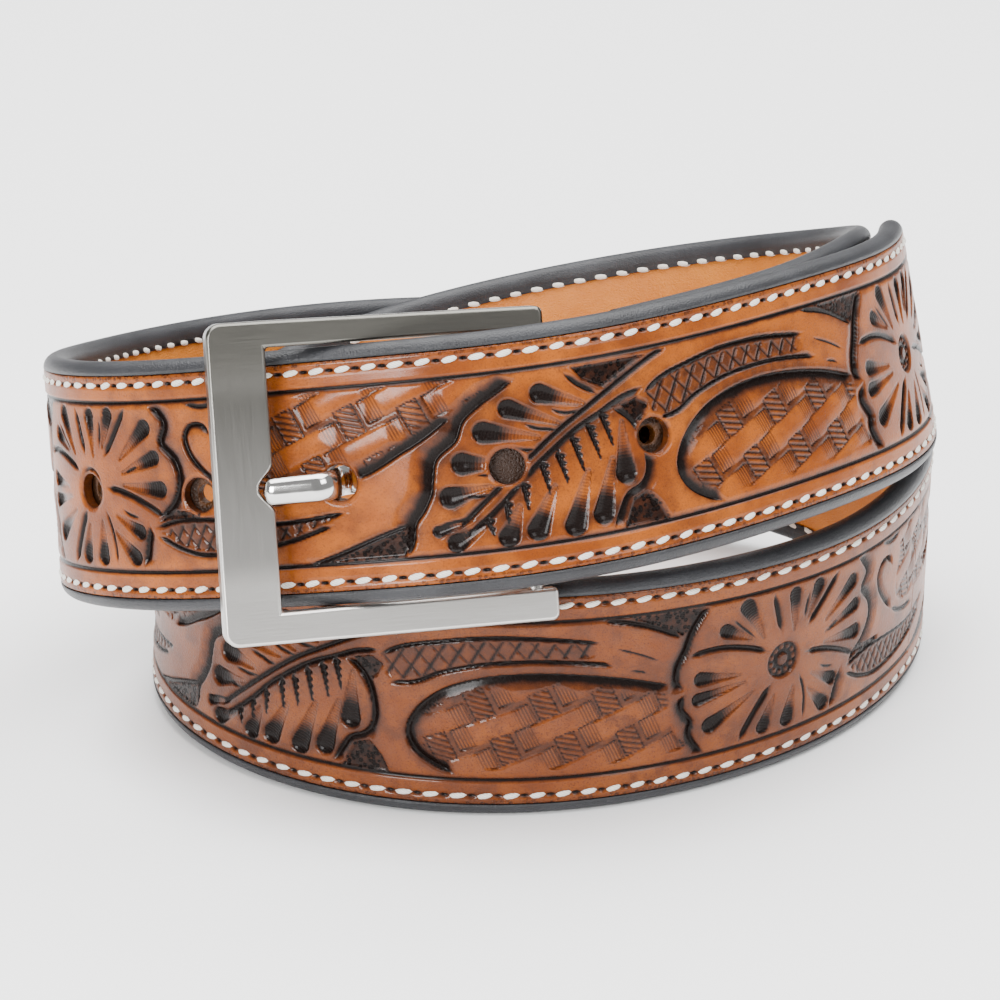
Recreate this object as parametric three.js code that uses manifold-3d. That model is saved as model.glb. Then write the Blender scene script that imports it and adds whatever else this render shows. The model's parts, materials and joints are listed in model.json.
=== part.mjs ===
// A buckled western belt, rolled up as a double loop that lies on its lower edge.
// Millimetres, +Z up, +X to the right of the buckle's front, the front faces -Y.
// The strap follows a table of stations. Every strap piece is made flat and then bent onto that route.

import * as THREE from "three";
import { mergeVertices } from "three/addons/utils/BufferGeometryUtils.js";
import Module from "manifold-3d";

const wasm = await Module();
wasm.setup();

// Strap
const strapWidth = 38;
const strapThickness = 4;
const pieceGap = 0.3;
const liningThickness = 1.05;
const bindingWall = 0.5;
const bindingFlap = 1.8;

// Route of the rolled belt
const coilRadius = 66;
const stationStep = 10;
const startAngle = 18.5;
const tipAngle = 829;

// Adjusting holes, the middle one takes the prong
const holeCount = 5;
const holePitch = 23;
const holeDrop = 0.7;
const holeDiameter = 5.4;
const holeSides = 16;
const prongHoleAngle = 699.4;

// Buckle frame
const frameLength = 50.2;
const frameThickness = 3.4;
const frameBevel = 0.6;
const frameCorner = 2.2;
const windowClearance = 0.6;
const barClearance = 0.8;
const distalBarWidth = 8.6;
const upperArmHeight = 3.7;
const lowerArmHeight = 4.4;
const armTaper = 0.5;
const heelBarDiameter = 3.6;
const heelBarInset = 3.2;
const heelAngle = 723;
const barNotchDepth = 2.2;
const distalRise = 0.7;
const heelDrop = 1.4;

// Prong
const prongWidth = 3.2;
const prongThickness = 2.4;
const prongBend = 1.8;
const prongLoopWall = 1.5;
const prongRest = 1.6;
const prongProud = 0.8;

// Fold of the strap round the heel bar, and the two posts that fasten it
const foldThickness = 2.4;
const foldLength = 34;
const foldTwistRoom = 1;
const slotLength = 7;
const postHead = 0.8;
const postHeadDiameter = 8;
const postCap = 1.4;
const postCapDiameter = 8;
const postShankDiameter = 4;
const postSpread = 0.2;
const postFromBar = 22;

const halfWidth = strapWidth / 2;
const halfThickness = strapThickness / 2;
const layerGap = postHead + 2.6 * pieceGap;
const layerStep = strapThickness + layerGap;

// Stations of the strap's middle line, from the buckle end to the tip.
// angle: degrees round the coil, from the front and towards +X.
// radius: share of the coil radius. height: share of the strap width.
// lean: degrees that the upper edge leans outwards. inset: layers that the strap lies inside its radius.
const stations = [
  { angle: 0, radius: 0.995, height: 1.53, lean: -14, inset: 1 },
  { angle: 30, radius: 0.903, height: 1.576, lean: -14.5, inset: 1 },
  { angle: 60, radius: 0.892, height: 1.572, lean: -14, inset: 1 },
  { angle: 90, radius: 0.97, height: 1.52, lean: -12, inset: 1 },
  { angle: 120, radius: 1.005, height: 1.3, lean: -1, inset: 0.3 },
  { angle: 150, radius: 1.006, height: 1.05, lean: 8.6, inset: 0 },
  { angle: 180, radius: 0.967, height: 0.84, lean: 10.8, inset: 0 },
  { angle: 210, radius: 0.911, height: 0.69, lean: 7.5, inset: 0 },
  { angle: 240, radius: 0.882, height: 0.57, lean: 2, inset: 0 },
  { angle: 270, radius: 0.871, height: 0.52, lean: -2.5, inset: 0 },
  { angle: 300, radius: 0.866, height: 0.505, lean: -3, inset: 0 },
  { angle: 330, radius: 0.872, height: 0.5, lean: -1.6, inset: 0 },
  { angle: 360, radius: 0.868, height: 0.5, lean: 1.2, inset: 0 },
  { angle: 390, radius: 0.852, height: 0.5, lean: 3.9, inset: 0 },
  { angle: 420, radius: 0.888, height: 0.5, lean: 4.8, inset: 0 },
  { angle: 450, radius: 0.995, height: 0.508, lean: 2.1, inset: 0 },
  { angle: 480, radius: 1.15, height: 0.545, lean: -0.4, inset: 0 },
  { angle: 510, radius: 1.164, height: 0.625, lean: -0.2, inset: 0 },
  { angle: 540, radius: 1.092, height: 0.69, lean: 2.9, inset: 0 },
  { angle: 570, radius: 1.024, height: 0.753, lean: 7.4, inset: 0 },
  { angle: 600, radius: 1.008, height: 0.842, lean: 10, inset: 0 },
  { angle: 630, radius: 1.055, height: 1.003, lean: 7.5, inset: 0 },
  { angle: 660, radius: 1.156, height: 1.232, lean: -2, inset: 0 },
  { angle: 690, radius: 1.055, height: 1.442, lean: -10.5, inset: 0 },
  { angle: 720, radius: 0.995, height: 1.576, lean: -14, inset: 0 },
  { angle: 750, radius: 0.903, height: 1.621, lean: -14.5, inset: 0 },
  { angle: 780, radius: 0.892, height: 1.608, lean: -14, inset: 0 },
  { angle: 810, radius: 0.97, height: 1.545, lean: -12, inset: 0 },
  { angle: 840, radius: 1.06, height: 1.5, lean: -8, inset: 0 },
];

// Second derivatives of the natural cubic spline through one column of the table.
function splineBends(values, step) {
  const count = values.length;
  const slack = new Array(count).fill(0);
  const bends = new Array(count).fill(0);
  for (let i = 1; i < count - 1; i++) {
    const pivot = 4 - slack[i - 1];
    const load = (6 * (values[i + 1] - 2 * values[i] + values[i - 1])) / (step * step);
    slack[i] = 1 / pivot;
    bends[i] = (load - bends[i - 1]) / pivot;
  }
  for (let i = count - 2; i > 0; i--) {
    bends[i] -= slack[i] * bends[i + 1];
  }
  return bends;
}

const rowStep = stations[1].angle - stations[0].angle;
const columns = {};
for (const name of ["radius", "height", "lean", "inset"]) {
  const values = stations.map((row) => row[name]);
  columns[name] = { values, bends: splineBends(values, rowStep) };
}

function column(name, angle) {
  const { values, bends } = columns[name];
  const place = (angle - stations[0].angle) / rowStep;
  const i = Math.min(Math.max(Math.floor(place), 0), values.length - 2);
  const b = place - i;
  const a = 1 - b;
  const bend = ((a ** 3 - a) * bends[i] + (b ** 3 - b) * bends[i + 1]) * (rowStep ** 2 / 6);
  return a * values[i] + b * values[i + 1] + bend;
}

function middleLine(angle) {
  const turn = THREE.MathUtils.degToRad(angle);
  const radius = column("radius", angle) * coilRadius - column("inset", angle) * layerStep;
  const height = column("height", angle) * strapWidth;
  return new THREE.Vector3(radius * Math.sin(turn), -radius * Math.cos(turn), height);
}

// Frame of the strap at an angle: along the strap, across it (up) and out of its face.
function strapFrame(angle) {
  const along = middleLine(angle + 0.5).sub(middleLine(angle - 0.5)).normalize();
  const outward = new THREE.Vector3(along.y, -along.x, 0).normalize();
  const lean = THREE.MathUtils.degToRad(column("lean", angle));
  const across = new THREE.Vector3(0, 0, Math.cos(lean)).addScaledVector(outward, Math.sin(lean));
  across.addScaledVector(along, -across.dot(along)).normalize();
  const out = new THREE.Vector3().crossVectors(along, across);
  return { along, across, out };
}

// Length along the middle line, from the start of the table, at every half degree.
const lengthStep = 0.5;
const lengths = [0];
for (let i = 1; i * lengthStep <= stations[stations.length - 1].angle; i++) {
  const piece = middleLine(i * lengthStep).distanceTo(middleLine((i - 1) * lengthStep));
  lengths.push(lengths[i - 1] + piece);
}

function lengthAt(angle) {
  const place = angle / lengthStep;
  const i = Math.min(Math.floor(place), lengths.length - 2);
  return lengths[i] + (place - i) * (lengths[i + 1] - lengths[i]);
}

function angleAt(length) {
  let i = 0;
  while (i < lengths.length - 2 && lengths[i + 1] < length) {
    i++;
  }
  return (i + (length - lengths[i]) / (lengths[i + 1] - lengths[i])) * lengthStep;
}

// A point of the strap: angle round the coil, distance across and distance out of the middle line.
function strapPoint(angle, across, out) {
  const frame = strapFrame(angle);
  return middleLine(angle).addScaledVector(frame.across, across).addScaledVector(frame.out, out);
}

function solidFromGeometry(geometry) {
  const bare = geometry.clone();
  bare.deleteAttribute("normal");
  bare.deleteAttribute("uv");
  const merged = mergeVertices(bare, 1e-5);
  const vertProperties = new Float32Array(merged.attributes.position.array);
  const triVerts = new Uint32Array(merged.index.array);
  return new wasm.Manifold(new wasm.Mesh({ numProp: 3, vertProperties, triVerts }));
}

function geometryFromSolid(solid) {
  const mesh = solid.getMesh();
  const geometry = new THREE.BufferGeometry();
  geometry.setAttribute("position", new THREE.BufferAttribute(mesh.vertProperties, 3));
  geometry.setIndex(new THREE.BufferAttribute(mesh.triVerts, 1));
  return geometry;
}

// Closed solid through rings of points. The outline is the ring drawn flat, and each ring lies
// ahead of the one before it, on the side that the outline's flat face looks to. A strip between
// two rings is halved from its first corner, or from its second one where the strip is on the far side.
function loft(rings, outline, farSideFrom = outline.length) {
  const size = outline.length;
  const positions = [];
  for (const ring of rings) {
    for (const point of ring) {
      positions.push(point.x, point.y, point.z);
    }
  }
  const clockwise = THREE.ShapeUtils.area(outline) < 0;
  const faces = [];
  for (let r = 0; r < rings.length - 1; r++) {
    for (let k = 0; k < size; k++) {
      const a = r * size + k;
      const b = r * size + ((k + 1) % size);
      const c = a + size;
      const d = b + size;
      const halves = k < farSideFrom ? [a, b, d, a, d, c] : [a, b, c, b, d, c];
      if (clockwise) {
        halves.reverse();
      }
      faces.push(...halves);
    }
  }
  const last = (rings.length - 1) * size;
  for (const [a, b, c] of THREE.ShapeUtils.triangulateShape(outline, [])) {
    faces.push(a, c, b, last + a, last + b, last + c);
  }
  const geometry = new THREE.BufferGeometry();
  geometry.setAttribute("position", new THREE.Float32BufferAttribute(positions, 3));
  geometry.setIndex(faces);
  return geometry;
}

// Angles of the strap's stations between two ends, with the ends themselves.
function stationAngles(from, to) {
  const angles = [from];
  for (let angle = Math.ceil(from / stationStep + 0.3) * stationStep; angle < to - 0.3 * stationStep;) {
    angles.push(angle);
    angle += stationStep;
  }
  angles.push(to);
  return angles;
}

// The inner layer lies two turns before the billet that covers it.
const innerTurn = 720;

// The tip is a half circle across the strap, centred this far along it.
const tipCentre = lengthAt(tipAngle) - halfWidth;
const tipCentreAngle = angleAt(tipCentre);
const tipSteps = 9;

function tipTurn(k) {
  return (k / tipSteps) * (Math.PI / 2);
}

// One flat layer of the strap, bent onto the route and with the adjusting holes cut through.
function strapLayer(inner, outer) {
  const rim = halfWidth - halfThickness - pieceGap;
  const rings = [];
  const ringAt = (angle, half) => [
    strapPoint(angle, -half, inner),
    strapPoint(angle, -half, outer),
    strapPoint(angle, half, outer),
    strapPoint(angle, half, inner),
  ];
  for (const angle of stationAngles(startAngle, tipCentreAngle)) {
    rings.push(ringAt(angle, rim));
  }
  for (let k = 1; k < tipSteps; k++) {
    const angle = angleAt(tipCentre + rim * Math.sin(tipTurn(k)));
    rings.push(ringAt(angle, rim * Math.cos(tipTurn(k))));
  }
  const outline = [
    new THREE.Vector2(-rim, inner),
    new THREE.Vector2(-rim, outer),
    new THREE.Vector2(rim, outer),
    new THREE.Vector2(rim, inner),
  ];
  let solid = solidFromGeometry(loft(rings, outline, outline.length / 2));
  for (const angle of holeAngles()) {
    solid = solid.subtract(boreThrough(angle, -holeDrop, holeDiameter));
  }
  for (const side of [-1, 1]) {
    const angle = angleAt(lengthAt(heelAngle - innerTurn) + postFromBar);
    solid = solid.subtract(boreThrough(angle, side * postSpread * strapWidth, postShankDiameter + 2 * pieceGap));
  }
  return geometryFromSolid(solid);
}

function holeAngles() {
  const middle = lengthAt(prongHoleAngle);
  const angles = [];
  for (let i = 0; i < holeCount; i++) {
    angles.push(angleAt(middle + (i - (holeCount - 1) / 2) * holePitch));
  }
  return angles;
}

// Places geometry made round the Y axis so that +Y points out of the strap's face.
function standOnStrap(geometry, angle, across, out) {
  const frame = strapFrame(angle);
  const turned = new THREE.Matrix4().makeBasis(frame.along, frame.out, frame.across.negate());
  turned.setPosition(strapPoint(angle, across, out));
  return geometry.clone().applyMatrix4(turned);
}

function boreThrough(angle, across, diameter) {
  const bore = new THREE.CylinderGeometry(diameter / 2, diameter / 2, 3 * strapThickness, holeSides);
  return solidFromGeometry(standOnStrap(bore, angle, across, 0));
}

// Section of the rolled edge: how far past the rim's centre, and how far out of the strap.
function bindingSection() {
  const section = [new THREE.Vector2(-bindingFlap, -halfThickness)];
  const outerSteps = 6;
  for (let k = 0; k <= outerSteps; k++) {
    const turn = -Math.PI / 2 + (k / outerSteps) * Math.PI;
    section.push(new THREE.Vector2(halfThickness * Math.cos(turn), halfThickness * Math.sin(turn)));
  }
  const innerRadius = halfThickness - bindingWall;
  const innerSteps = 3;
  for (let k = innerSteps; k >= 0; k--) {
    const turn = -Math.PI / 2 + (k / innerSteps) * Math.PI;
    section.push(new THREE.Vector2(innerRadius * Math.cos(turn), innerRadius * Math.sin(turn)));
  }
  section.push(new THREE.Vector2(-bindingFlap, -innerRadius));
  return section;
}

// The binding runs along the upper edge, round the tip and back along the lower edge.
function edgeBinding() {
  const rim = halfWidth - halfThickness;
  const section = bindingSection();
  const rings = [];
  const angles = stationAngles(startAngle, tipCentreAngle);
  for (const angle of angles) {
    rings.push(section.map((point) => strapPoint(angle, rim + point.x, point.y)));
  }
  const tipRings = 2 * tipSteps;
  for (let k = 1; k < tipRings; k++) {
    const turn = (k / tipRings) * Math.PI;
    const ring = section.map((point) => {
      const reach = rim + point.x;
      const angle = angleAt(tipCentre + reach * Math.sin(turn));
      return strapPoint(angle, reach * Math.cos(turn), point.y);
    });
    rings.push(ring);
  }
  for (const angle of [...angles].reverse()) {
    rings.push(section.map((point) => strapPoint(angle, -rim - point.x, point.y)));
  }
  return loft(rings, section);
}

// Heel bar: it lies inside the billet, with the strap's fold between them.
const billetToHeel = halfThickness + layerGap + foldThickness + pieceGap + foldTwistRoom + heelBarDiameter / 2;
const heelPoint = strapPoint(heelAngle, -heelDrop, -billetToHeel);

// The far bar rests over the strap, left of the heel bar by the frame's own length.
const barSpan = frameLength - distalBarWidth / 2 - heelBarInset;

function distalPlace() {
  let angle = heelAngle - THREE.MathUtils.radToDeg(barSpan / coilRadius);
  let point = strapPoint(angle, 0, 0);
  for (let i = 0; i < 12; i++) {
    const frame = strapFrame(angle);
    const chord = heelPoint.clone().sub(point).normalize();
    const tilt = Math.acos(Math.min(1, Math.abs(chord.dot(frame.along))));
    const rise = (distalBarWidth / 2) * Math.tan(tilt) + frameThickness / 2 / Math.cos(tilt);
    point = strapPoint(angle, distalRise, halfThickness + barClearance + rise);
    const error = point.distanceTo(heelPoint) - barSpan;
    angle += THREE.MathUtils.radToDeg(error / coilRadius);
  }
  return { angle, point };
}

const distal = distalPlace();

// Axes of the buckle: along it towards the heel bar, inwards, and up.
function buckleMatrix() {
  const along = heelPoint.clone().sub(distal.point).normalize();
  const up = strapFrame(distal.angle).across.add(strapFrame(heelAngle).across);
  up.addScaledVector(along, -up.dot(along)).normalize();
  const inwards = new THREE.Vector3().crossVectors(up, along);
  const matrix = new THREE.Matrix4().makeBasis(along, inwards, up);
  matrix.setPosition(heelPoint);
  return matrix;
}

const buckle = buckleMatrix();
const buckleInverse = buckle.clone().invert();

// Flat U of the frame, drawn with the heel bar at x = 0 and the far bar at negative x.
function frameOutline() {
  const left = -barSpan - distalBarWidth / 2;
  const right = heelBarInset;
  const window = strapWidth / 2 + windowClearance;
  const top = window + upperArmHeight;
  const bottom = -window - lowerArmHeight;
  const topEnd = top - armTaper;
  const bottomEnd = bottom + armTaper;
  const barEdge = left + distalBarWidth;
  const notchHalf = prongWidth / 2 + pieceGap;
  const shape = new THREE.Shape();
  shape.moveTo(left + frameCorner, bottom);
  shape.lineTo(right - 1, bottomEnd);
  shape.quadraticCurveTo(right, bottomEnd, right, bottomEnd + 1);
  shape.lineTo(right, -window);
  shape.lineTo(barEdge, -window);
  shape.lineTo(barEdge, -notchHalf);
  shape.lineTo(barEdge - barNotchDepth, -notchHalf);
  shape.lineTo(barEdge - barNotchDepth, notchHalf);
  shape.lineTo(barEdge, notchHalf);
  shape.lineTo(barEdge, window);
  shape.lineTo(right, window);
  shape.lineTo(right, topEnd - 1);
  shape.quadraticCurveTo(right, topEnd, right - 1, topEnd);
  shape.lineTo(left + frameCorner, top);
  shape.absarc(left + frameCorner, top - frameCorner, frameCorner, Math.PI / 2, Math.PI, false);
  shape.absarc(left + frameCorner, bottom + frameCorner, frameCorner, Math.PI, 1.5 * Math.PI, false);
  return shape;
}

function buckleFrame() {
  const plate = new THREE.ExtrudeGeometry(frameOutline(), {
    depth: frameThickness - 2 * frameBevel,
    bevelEnabled: true,
    bevelSize: frameBevel,
    bevelOffset: -frameBevel,
    bevelThickness: frameBevel,
    bevelSegments: 1,
    curveSegments: 5,
  });
  plate.translate(0, 0, -frameThickness / 2 + frameBevel);
  plate.rotateX(Math.PI / 2);
  const barLength = strapWidth + 2 * windowClearance + upperArmHeight;
  const bar = new THREE.CylinderGeometry(heelBarDiameter / 2, heelBarDiameter / 2, barLength, 16);
  bar.rotateX(Math.PI / 2);
  const solid = solidFromGeometry(plate).add(solidFromGeometry(bar));
  return geometryFromSolid(solid).applyMatrix4(buckle);
}

// Middle line of the prong in the buckle's own axes, x along and y outwards of the strap.
function prongPath(holePlace, holeOut, tipPlace, tipOut) {
  const overFace = holeOut + halfThickness + pieceGap + prongThickness / 2;
  const underFace = holeOut - halfThickness - pieceGap - prongThickness / 2;
  const path = new THREE.CurvePath();
  const point = (x, y) => new THREE.Vector3(x, y, 0);
  const loopEdge = point(-heelBarDiameter / 2 - pieceGap - prongLoopWall / 2, 0);
  const bendIn = point(holePlace + prongBend, underFace);
  const bendOut = point(holePlace - prongBend, overFace);
  path.add(new THREE.LineCurve3(loopEdge, bendIn));
  path.add(new THREE.QuadraticBezierCurve3(bendIn, point(holePlace, underFace), point(holePlace, holeOut)));
  path.add(new THREE.QuadraticBezierCurve3(point(holePlace, holeOut), point(holePlace, overFace), bendOut));
  path.add(new THREE.LineCurve3(bendOut, point(tipPlace, tipOut)));
  return path;
}

function ovalSection(width, thickness, sides) {
  const shape = new THREE.Shape();
  shape.absellipse(0, 0, width / 2, thickness / 2, 0, 2 * Math.PI, false);
  return shape.getPoints(sides).slice(0, sides);
}

function buckleProng() {
  const local = strapPoint(prongHoleAngle, -holeDrop, 0).applyMatrix4(buckleInverse);
  const tipPlace = -barSpan + distalBarWidth / 2 - prongRest;
  const tipOut = (frameThickness - prongThickness) / 2 + prongProud;
  const path = prongPath(local.x, -local.y, tipPlace, tipOut);
  const outline = ovalSection(prongWidth, prongThickness, 12);
  const rings = [];
  const steps = 26;
  for (let i = 0; i <= steps; i++) {
    const share = i / steps;
    const centre = path.getPointAt(share);
    const along = path.getTangentAt(share);
    const side = new THREE.Vector3(-along.y, along.x, 0);
    const taper = share > 0.97 ? 0.75 : 1;
    const ring = outline.map((point) => {
      const place = centre.clone().addScaledVector(side, point.y * taper);
      return new THREE.Vector3(place.x, -place.y, point.x * taper);
    });
    rings.push(ring);
  }
  let solid = solidFromGeometry(loft(rings, outline));
  const loopInner = heelBarDiameter / 2 + pieceGap;
  const loopOuter = loopInner + prongLoopWall;
  const half = prongWidth / 2;
  const profile = [
    new THREE.Vector2(loopInner, -half),
    new THREE.Vector2(loopOuter, -half),
    new THREE.Vector2(loopOuter, half),
    new THREE.Vector2(loopInner, half),
    new THREE.Vector2(loopInner, -half),
  ];
  const loop = new THREE.LatheGeometry(profile, 20);
  loop.rotateX(Math.PI / 2);
  const room = new THREE.CylinderGeometry(loopInner, loopInner, 2 * prongWidth, 20);
  room.rotateX(Math.PI / 2);
  solid = solid.add(solidFromGeometry(loop)).subtract(solidFromGeometry(room));
  return geometryFromSolid(solid).applyMatrix4(buckle);
}

// Fold: a leaf over the heel bar, round it, and back along the inside of the strap.
function buckleFold() {
  const heelInner = heelAngle - innerTurn;
  const start = lengthAt(heelInner);
  const frame = strapFrame(heelInner);
  const toBar = heelPoint.clone().sub(strapPoint(heelInner, 0, 0));
  const barOut = toBar.dot(frame.out);
  const barAlong = toBar.dot(frame.along);
  const innerRadius = heelBarDiameter / 2 + pieceGap + foldTwistRoom;
  const middleRadius = innerRadius + foldThickness / 2;
  const frontOut = halfThickness - foldThickness / 2;
  const backOut = -halfThickness - pieceGap - foldThickness / 2;
  const strapStart = lengthAt(startAngle) - start - pieceGap;
  const path = [];
  const frontSteps = 3;
  for (let k = 0; k < frontSteps; k++) {
    path.push(new THREE.Vector2(strapStart + ((barAlong - strapStart) * k) / frontSteps, frontOut));
  }
  const wrapSteps = 8;
  for (let k = 0; k <= wrapSteps; k++) {
    const turn = Math.PI / 2 + (k / wrapSteps) * Math.PI;
    const x = barAlong + middleRadius * Math.cos(turn);
    path.push(new THREE.Vector2(x, barOut + middleRadius * Math.sin(turn)));
  }
  const backSteps = 8;
  for (let k = 1; k <= backSteps; k++) {
    const x = barAlong + strapStart + ((foldLength - strapStart) * k) / backSteps;
    path.push(new THREE.Vector2(x, backOut));
  }
  const outline = thickLine(path, foldThickness / 2);
  const half = halfWidth - halfThickness - bindingFlap - 2 * pieceGap;
  const rings = [];
  const widthSteps = 4;
  for (let k = 0; k <= widthSteps; k++) {
    const across = half - (2 * half * k) / widthSteps;
    rings.push(outline.map((point) => strapPoint(angleAt(start + point.x), across, point.y)));
  }
  let solid = solidFromGeometry(loft(rings, outline));
  const slot = new THREE.BoxGeometry(slotLength * 2, 6 * heelBarDiameter, prongWidth + 4 * pieceGap);
  slot.translate(-slotLength + heelBarDiameter, 0, 0);
  solid = solid.subtract(solidFromGeometry(slot.applyMatrix4(buckle)));
  for (const side of [-1, 1]) {
    const angle = angleAt(start + postFromBar);
    solid = solid.subtract(boreThrough(angle, side * postSpread * strapWidth, postShankDiameter + 2 * pieceGap));
  }
  return geometryFromSolid(solid);
}

// Closed outline of a line of points with some thickness.
function thickLine(path, half) {
  const left = [];
  const right = [];
  for (let i = 0; i < path.length; i++) {
    const before = path[Math.max(i - 1, 0)];
    const after = path[Math.min(i + 1, path.length - 1)];
    const along = after.clone().sub(before).normalize();
    const side = new THREE.Vector2(-along.y, along.x).multiplyScalar(half);
    left.push(path[i].clone().add(side));
    right.push(path[i].clone().sub(side));
  }
  return [...left, ...right.reverse()];
}

// Post through the strap and its fold: a low head outside, a shank and a cap inside.
function foldPost(side) {
  const headBase = halfThickness + pieceGap;
  const capBase = -halfThickness - foldThickness - 3 * pieceGap;
  const shank = postShankDiameter / 2;
  const profile = [
    new THREE.Vector2(0, capBase - postCap),
    new THREE.Vector2(0.7 * (postCapDiameter / 2), capBase - postCap),
    new THREE.Vector2(postCapDiameter / 2, capBase - 0.4 * postCap),
    new THREE.Vector2(postCapDiameter / 2, capBase),
    new THREE.Vector2(shank, capBase),
    new THREE.Vector2(shank, headBase),
    new THREE.Vector2(postHeadDiameter / 2, headBase),
    new THREE.Vector2(postHeadDiameter / 2, headBase + 0.5 * postHead),
    new THREE.Vector2(0.8 * (postHeadDiameter / 2), headBase + postHead),
    new THREE.Vector2(0, headBase + postHead),
  ];
  const angle = angleAt(lengthAt(heelAngle - innerTurn) + postFromBar);
  return standOnStrap(new THREE.LatheGeometry(profile, 16), angle, side * postSpread * strapWidth, 0);
}

const finishes = {
  tooledLeather: new THREE.MeshStandardMaterial({ color: 0xb4713c, roughness: 0.45, metalness: 0 }),
  liningLeather: new THREE.MeshStandardMaterial({ color: 0xe8a05c, roughness: 0.55, metalness: 0 }),
  bindingLeather: new THREE.MeshStandardMaterial({ color: 0x1d1f22, roughness: 0.4, metalness: 0 }),
  brushedNickel: new THREE.MeshStandardMaterial({ color: 0xb6b4b0, roughness: 0.35, metalness: 1 }),
  polishedNickel: new THREE.MeshStandardMaterial({ color: 0xd8d8d8, roughness: 0.1, metalness: 1 }),
};

function piece(name, geometry, material) {
  const mesh = new THREE.Mesh(geometry, material);
  mesh.name = name;
  return mesh;
}

function belt() {
  const group = new THREE.Group();
  const middleGap = pieceGap / 2;
  const liningInner = -middleGap - liningThickness;
  group.add(piece("tooled_strap", strapLayer(middleGap, halfThickness), finishes.tooledLeather));
  group.add(piece("strap_lining", strapLayer(liningInner, -middleGap), finishes.liningLeather));
  group.add(piece("edge_binding", edgeBinding(), finishes.bindingLeather));
  group.add(piece("buckle_fold", buckleFold(), finishes.tooledLeather));
  group.add(piece("fold_post_lower", foldPost(-1), finishes.brushedNickel));
  group.add(piece("fold_post_upper", foldPost(1), finishes.brushedNickel));
  group.add(piece("buckle_frame", buckleFrame(), finishes.brushedNickel));
  group.add(piece("buckle_prong", buckleProng(), finishes.polishedNickel));
  return group;
}

// The origin is the middle of the footprint, on the surface that the belt lies on.
function centred(group) {
  const box = new THREE.Box3().setFromObject(group);
  const middle = box.getCenter(new THREE.Vector3());
  group.position.set(-middle.x, -middle.y, -box.min.z);
  return group;
}

export default centred(belt());
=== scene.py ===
"""Looks of a rolled western belt: tooled leather, rolled edges, stitches and a plain buckle.

Lengths in the classes are millimetres, in the belt's own coordinates: s along the strap from the
buckle end, w across it towards the upper edge, and n out of its tooled face. Route turns them
into the model's metres.
"""

import logging
import math
from dataclasses import dataclass, field
from enum import Enum

import bmesh
import bpy
import numpy as np
from mathutils import Matrix, Vector
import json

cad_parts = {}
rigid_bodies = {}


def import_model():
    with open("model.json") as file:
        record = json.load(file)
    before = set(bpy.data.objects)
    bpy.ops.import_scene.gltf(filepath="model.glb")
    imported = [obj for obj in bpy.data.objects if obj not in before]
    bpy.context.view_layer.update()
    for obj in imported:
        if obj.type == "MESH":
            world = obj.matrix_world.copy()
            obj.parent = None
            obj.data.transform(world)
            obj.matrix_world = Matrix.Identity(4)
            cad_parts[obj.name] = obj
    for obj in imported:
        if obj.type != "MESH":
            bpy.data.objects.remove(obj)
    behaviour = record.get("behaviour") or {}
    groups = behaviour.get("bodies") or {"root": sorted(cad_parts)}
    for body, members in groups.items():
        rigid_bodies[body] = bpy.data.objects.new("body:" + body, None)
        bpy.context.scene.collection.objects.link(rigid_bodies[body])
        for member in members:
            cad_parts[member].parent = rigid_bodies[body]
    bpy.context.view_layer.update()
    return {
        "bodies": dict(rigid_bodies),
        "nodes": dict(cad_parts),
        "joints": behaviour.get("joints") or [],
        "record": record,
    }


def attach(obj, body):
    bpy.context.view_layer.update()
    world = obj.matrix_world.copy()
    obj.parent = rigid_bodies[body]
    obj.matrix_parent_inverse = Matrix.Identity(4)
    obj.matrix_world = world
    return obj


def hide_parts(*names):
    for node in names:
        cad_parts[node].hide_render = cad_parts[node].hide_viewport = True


LOG = logging.getLogger("belt")
MM = 0.001
MM_IN_CM = 10
SHARP = math.radians(40)

Array = np.ndarray
Arrays = tuple[Array, ...]
Color = Vec = tuple[float, float, float]
Spot = tuple[float, float]
Fields = dict[str, Array]
Material = bpy.types.Material
Piece = bpy.types.Object
Socket = bpy.types.NodeSocket
Tree = bpy.types.NodeTree


# Route of the rolled strap


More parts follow.
